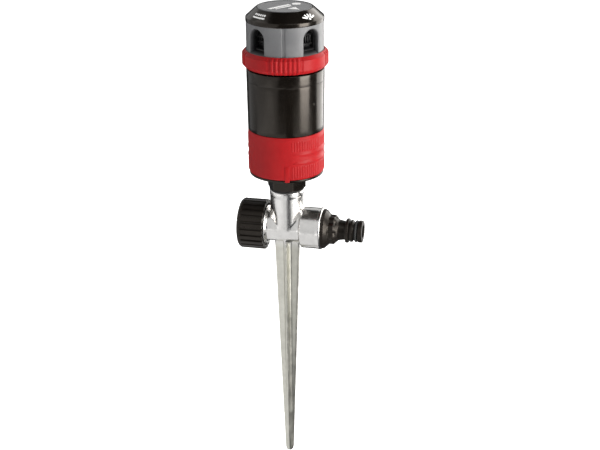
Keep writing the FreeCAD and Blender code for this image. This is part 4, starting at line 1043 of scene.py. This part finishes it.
FLOOR_BELOW = 0.0005
TABLE_BELOW = 0.004
LIGHTS_AIM = 0.07
WARM_LIGHT = (1.0, 0.98, 0.95)
WHITE_LIGHT = (1.0, 1.0, 1.0)

# Name, azimuth from the camera's, elevation, distance, width, height, radiance, tint.
SOFTBOXES = (
    ("key", 58, 9.4, 1.3, 0.72, 1.26, 10.5, WARM_LIGHT),
    ("right_wall", 128, 12, 1.5, 1.4, 1.8, 3.6, WARM_LIGHT),
    ("left_wall", -62, 22, 1.5, 3.2, 2.79, 0.68, WHITE_LIGHT),
    ("left_back", -120, 22, 1.5, 1.25, 2.79, 0.4, WHITE_LIGHT),
    ("back_wall", 185, 24, 1.6, 2.4, 0.7, 0.7, WHITE_LIGHT),
    ("overhead", 38, 50, 1.5, 1.3, 0.9, 1.9, WHITE_LIGHT),
)

# Name, left and right end, near and far end, radiance.
TABLE_LIGHTS = (
    ("table_left", -0.8, 0.0, 0.74, -0.1, 0.78),
    ("table_right", 0.24, 0.8, 0.72, 0.05, 1.05),
    ("table_back", 0.05, 0.8, -0.3, -0.8, 0.6),
)


def view_back(azimuth, elevation):
    """The direction from the head towards a place at an azimuth and elevation in degrees."""
    a, e = math.radians(azimuth), math.radians(elevation)
    return Vector((math.sin(a) * math.cos(e), -math.cos(a) * math.cos(e), math.sin(e)))


def make_floor():
    material, nodes, links, shader = new_material("pale_floor")
    space = object_space(nodes, links)
    tone = noise(nodes, links, space, 0.01, 2.0)
    links.new(ramp(nodes, links, tone, [(0.3, 0.88), (0.7, 0.90)]), shader.inputs["Base Color"])
    shader.inputs["Roughness"].default_value = 0.9
    shader.inputs["Specular IOR Level"].default_value = 0.0
    shader.inputs["Emission Color"].default_value = (1.0, 1.0, 1.0, 1.0)
    shader.inputs["Emission Strength"].default_value = 0.8
    bpy.ops.mesh.primitive_plane_add(size=14.0, location=(0, 0, cad_low.z - FLOOR_BELOW))
    floor = bpy.context.object
    floor.name = "floor"
    floor.data.materials.append(material)
    floor.visible_glossy = False
    floor.visible_shadow = False


def softbox(name, azimuth, elevation, distance, width, height, radiance, tint):
    """An area light that faces the head, with distance and size in metres."""
    light = bpy.data.lights.new(name, "AREA")
    light.shape = "RECTANGLE"
    light.size = width
    light.size_y = height
    light.energy = radiance * width * height * math.pi
    light.color = tint
    lamp = in_scene(name, light)
    back = view_back(CAMERA_AZIMUTH + azimuth, elevation)
    lamp.location = Vector((0, 0, LIGHTS_AIM)) + back * distance
    lamp.rotation_mode = "QUATERNION"
    lamp.rotation_quaternion = back.to_track_quat("Z", "Y")
    lamp.visible_camera = False
    return lamp


def table_light(name, left, right, near, far, radiance):
    """A bright patch of the table: sideways and towards the camera, in metres from the axis."""
    a = math.radians(CAMERA_AZIMUTH)
    across, ahead = (left + right) / 2, (near + far) / 2
    lamp = softbox(name, 0, -90, 0.0, right - left, near - far, radiance, WHITE_LIGHT)
    lamp.location = (across * math.cos(a) + ahead * math.sin(a), across * math.sin(a) - ahead * math.cos(a),
                     cad_low.z - TABLE_BELOW)
    lamp.rotation_quaternion = Matrix.Rotation(a, 3, "Z").to_quaternion() @ Quaternion((1, 0, 0), math.pi)


def make_lights():
    for entry in SOFTBOXES:
        softbox(*entry)
    for entry in TABLE_LIGHTS:
        table_light(*entry)
    world = bpy.data.worlds.new("studio")
    world.use_nodes = True
    background = world.node_tree.nodes["Background"]
    background.inputs["Color"].default_value = (0.9, 0.95, 1.0, 1.0)
    background.inputs["Strength"].default_value = 0.06
    bpy.context.scene.world = world


def make_camera():
    data = bpy.data.cameras.new("camera")
    data.lens = CAMERA_LENS
    data.sensor_width = CAMERA_SENSOR
    data.clip_start, data.clip_end = 0.05, 20.0
    camera = in_scene("camera", data)
    a = math.radians(CAMERA_AZIMUTH)
    back = view_back(CAMERA_AZIMUTH, CAMERA_ELEVATION)
    level = Vector((math.cos(a), math.sin(a), 0))
    upward = back.cross(level)
    roll = math.radians(CAMERA_ROLL)
    right = level * math.cos(roll) - upward * math.sin(roll)
    up = level * math.sin(roll) + upward * math.cos(roll)
    target = Vector((0, 0, tee_height()))
    camera.location = (target + back * CAMERA_DISTANCE + right * CAMERA_ASIDE + up * CAMERA_RAISE) * MM
    camera.rotation_mode = "QUATERNION"
    camera.rotation_quaternion = Matrix((right, up, back)).transposed().to_quaternion()
    bpy.context.scene.camera = camera


dress_cad_nodes()
make_casting()
make_adapter()
make_end_cap()
make_coupling()
make_base()
make_flow_collar()
make_body_shell()
make_arc_ring()
make_turret_shell()
make_nozzles()
make_turret_cap()
make_pictograms()
make_disc()
make_floor()
make_lights()
make_camera()
bpy.context.scene.view_settings.view_transform = "Standard"
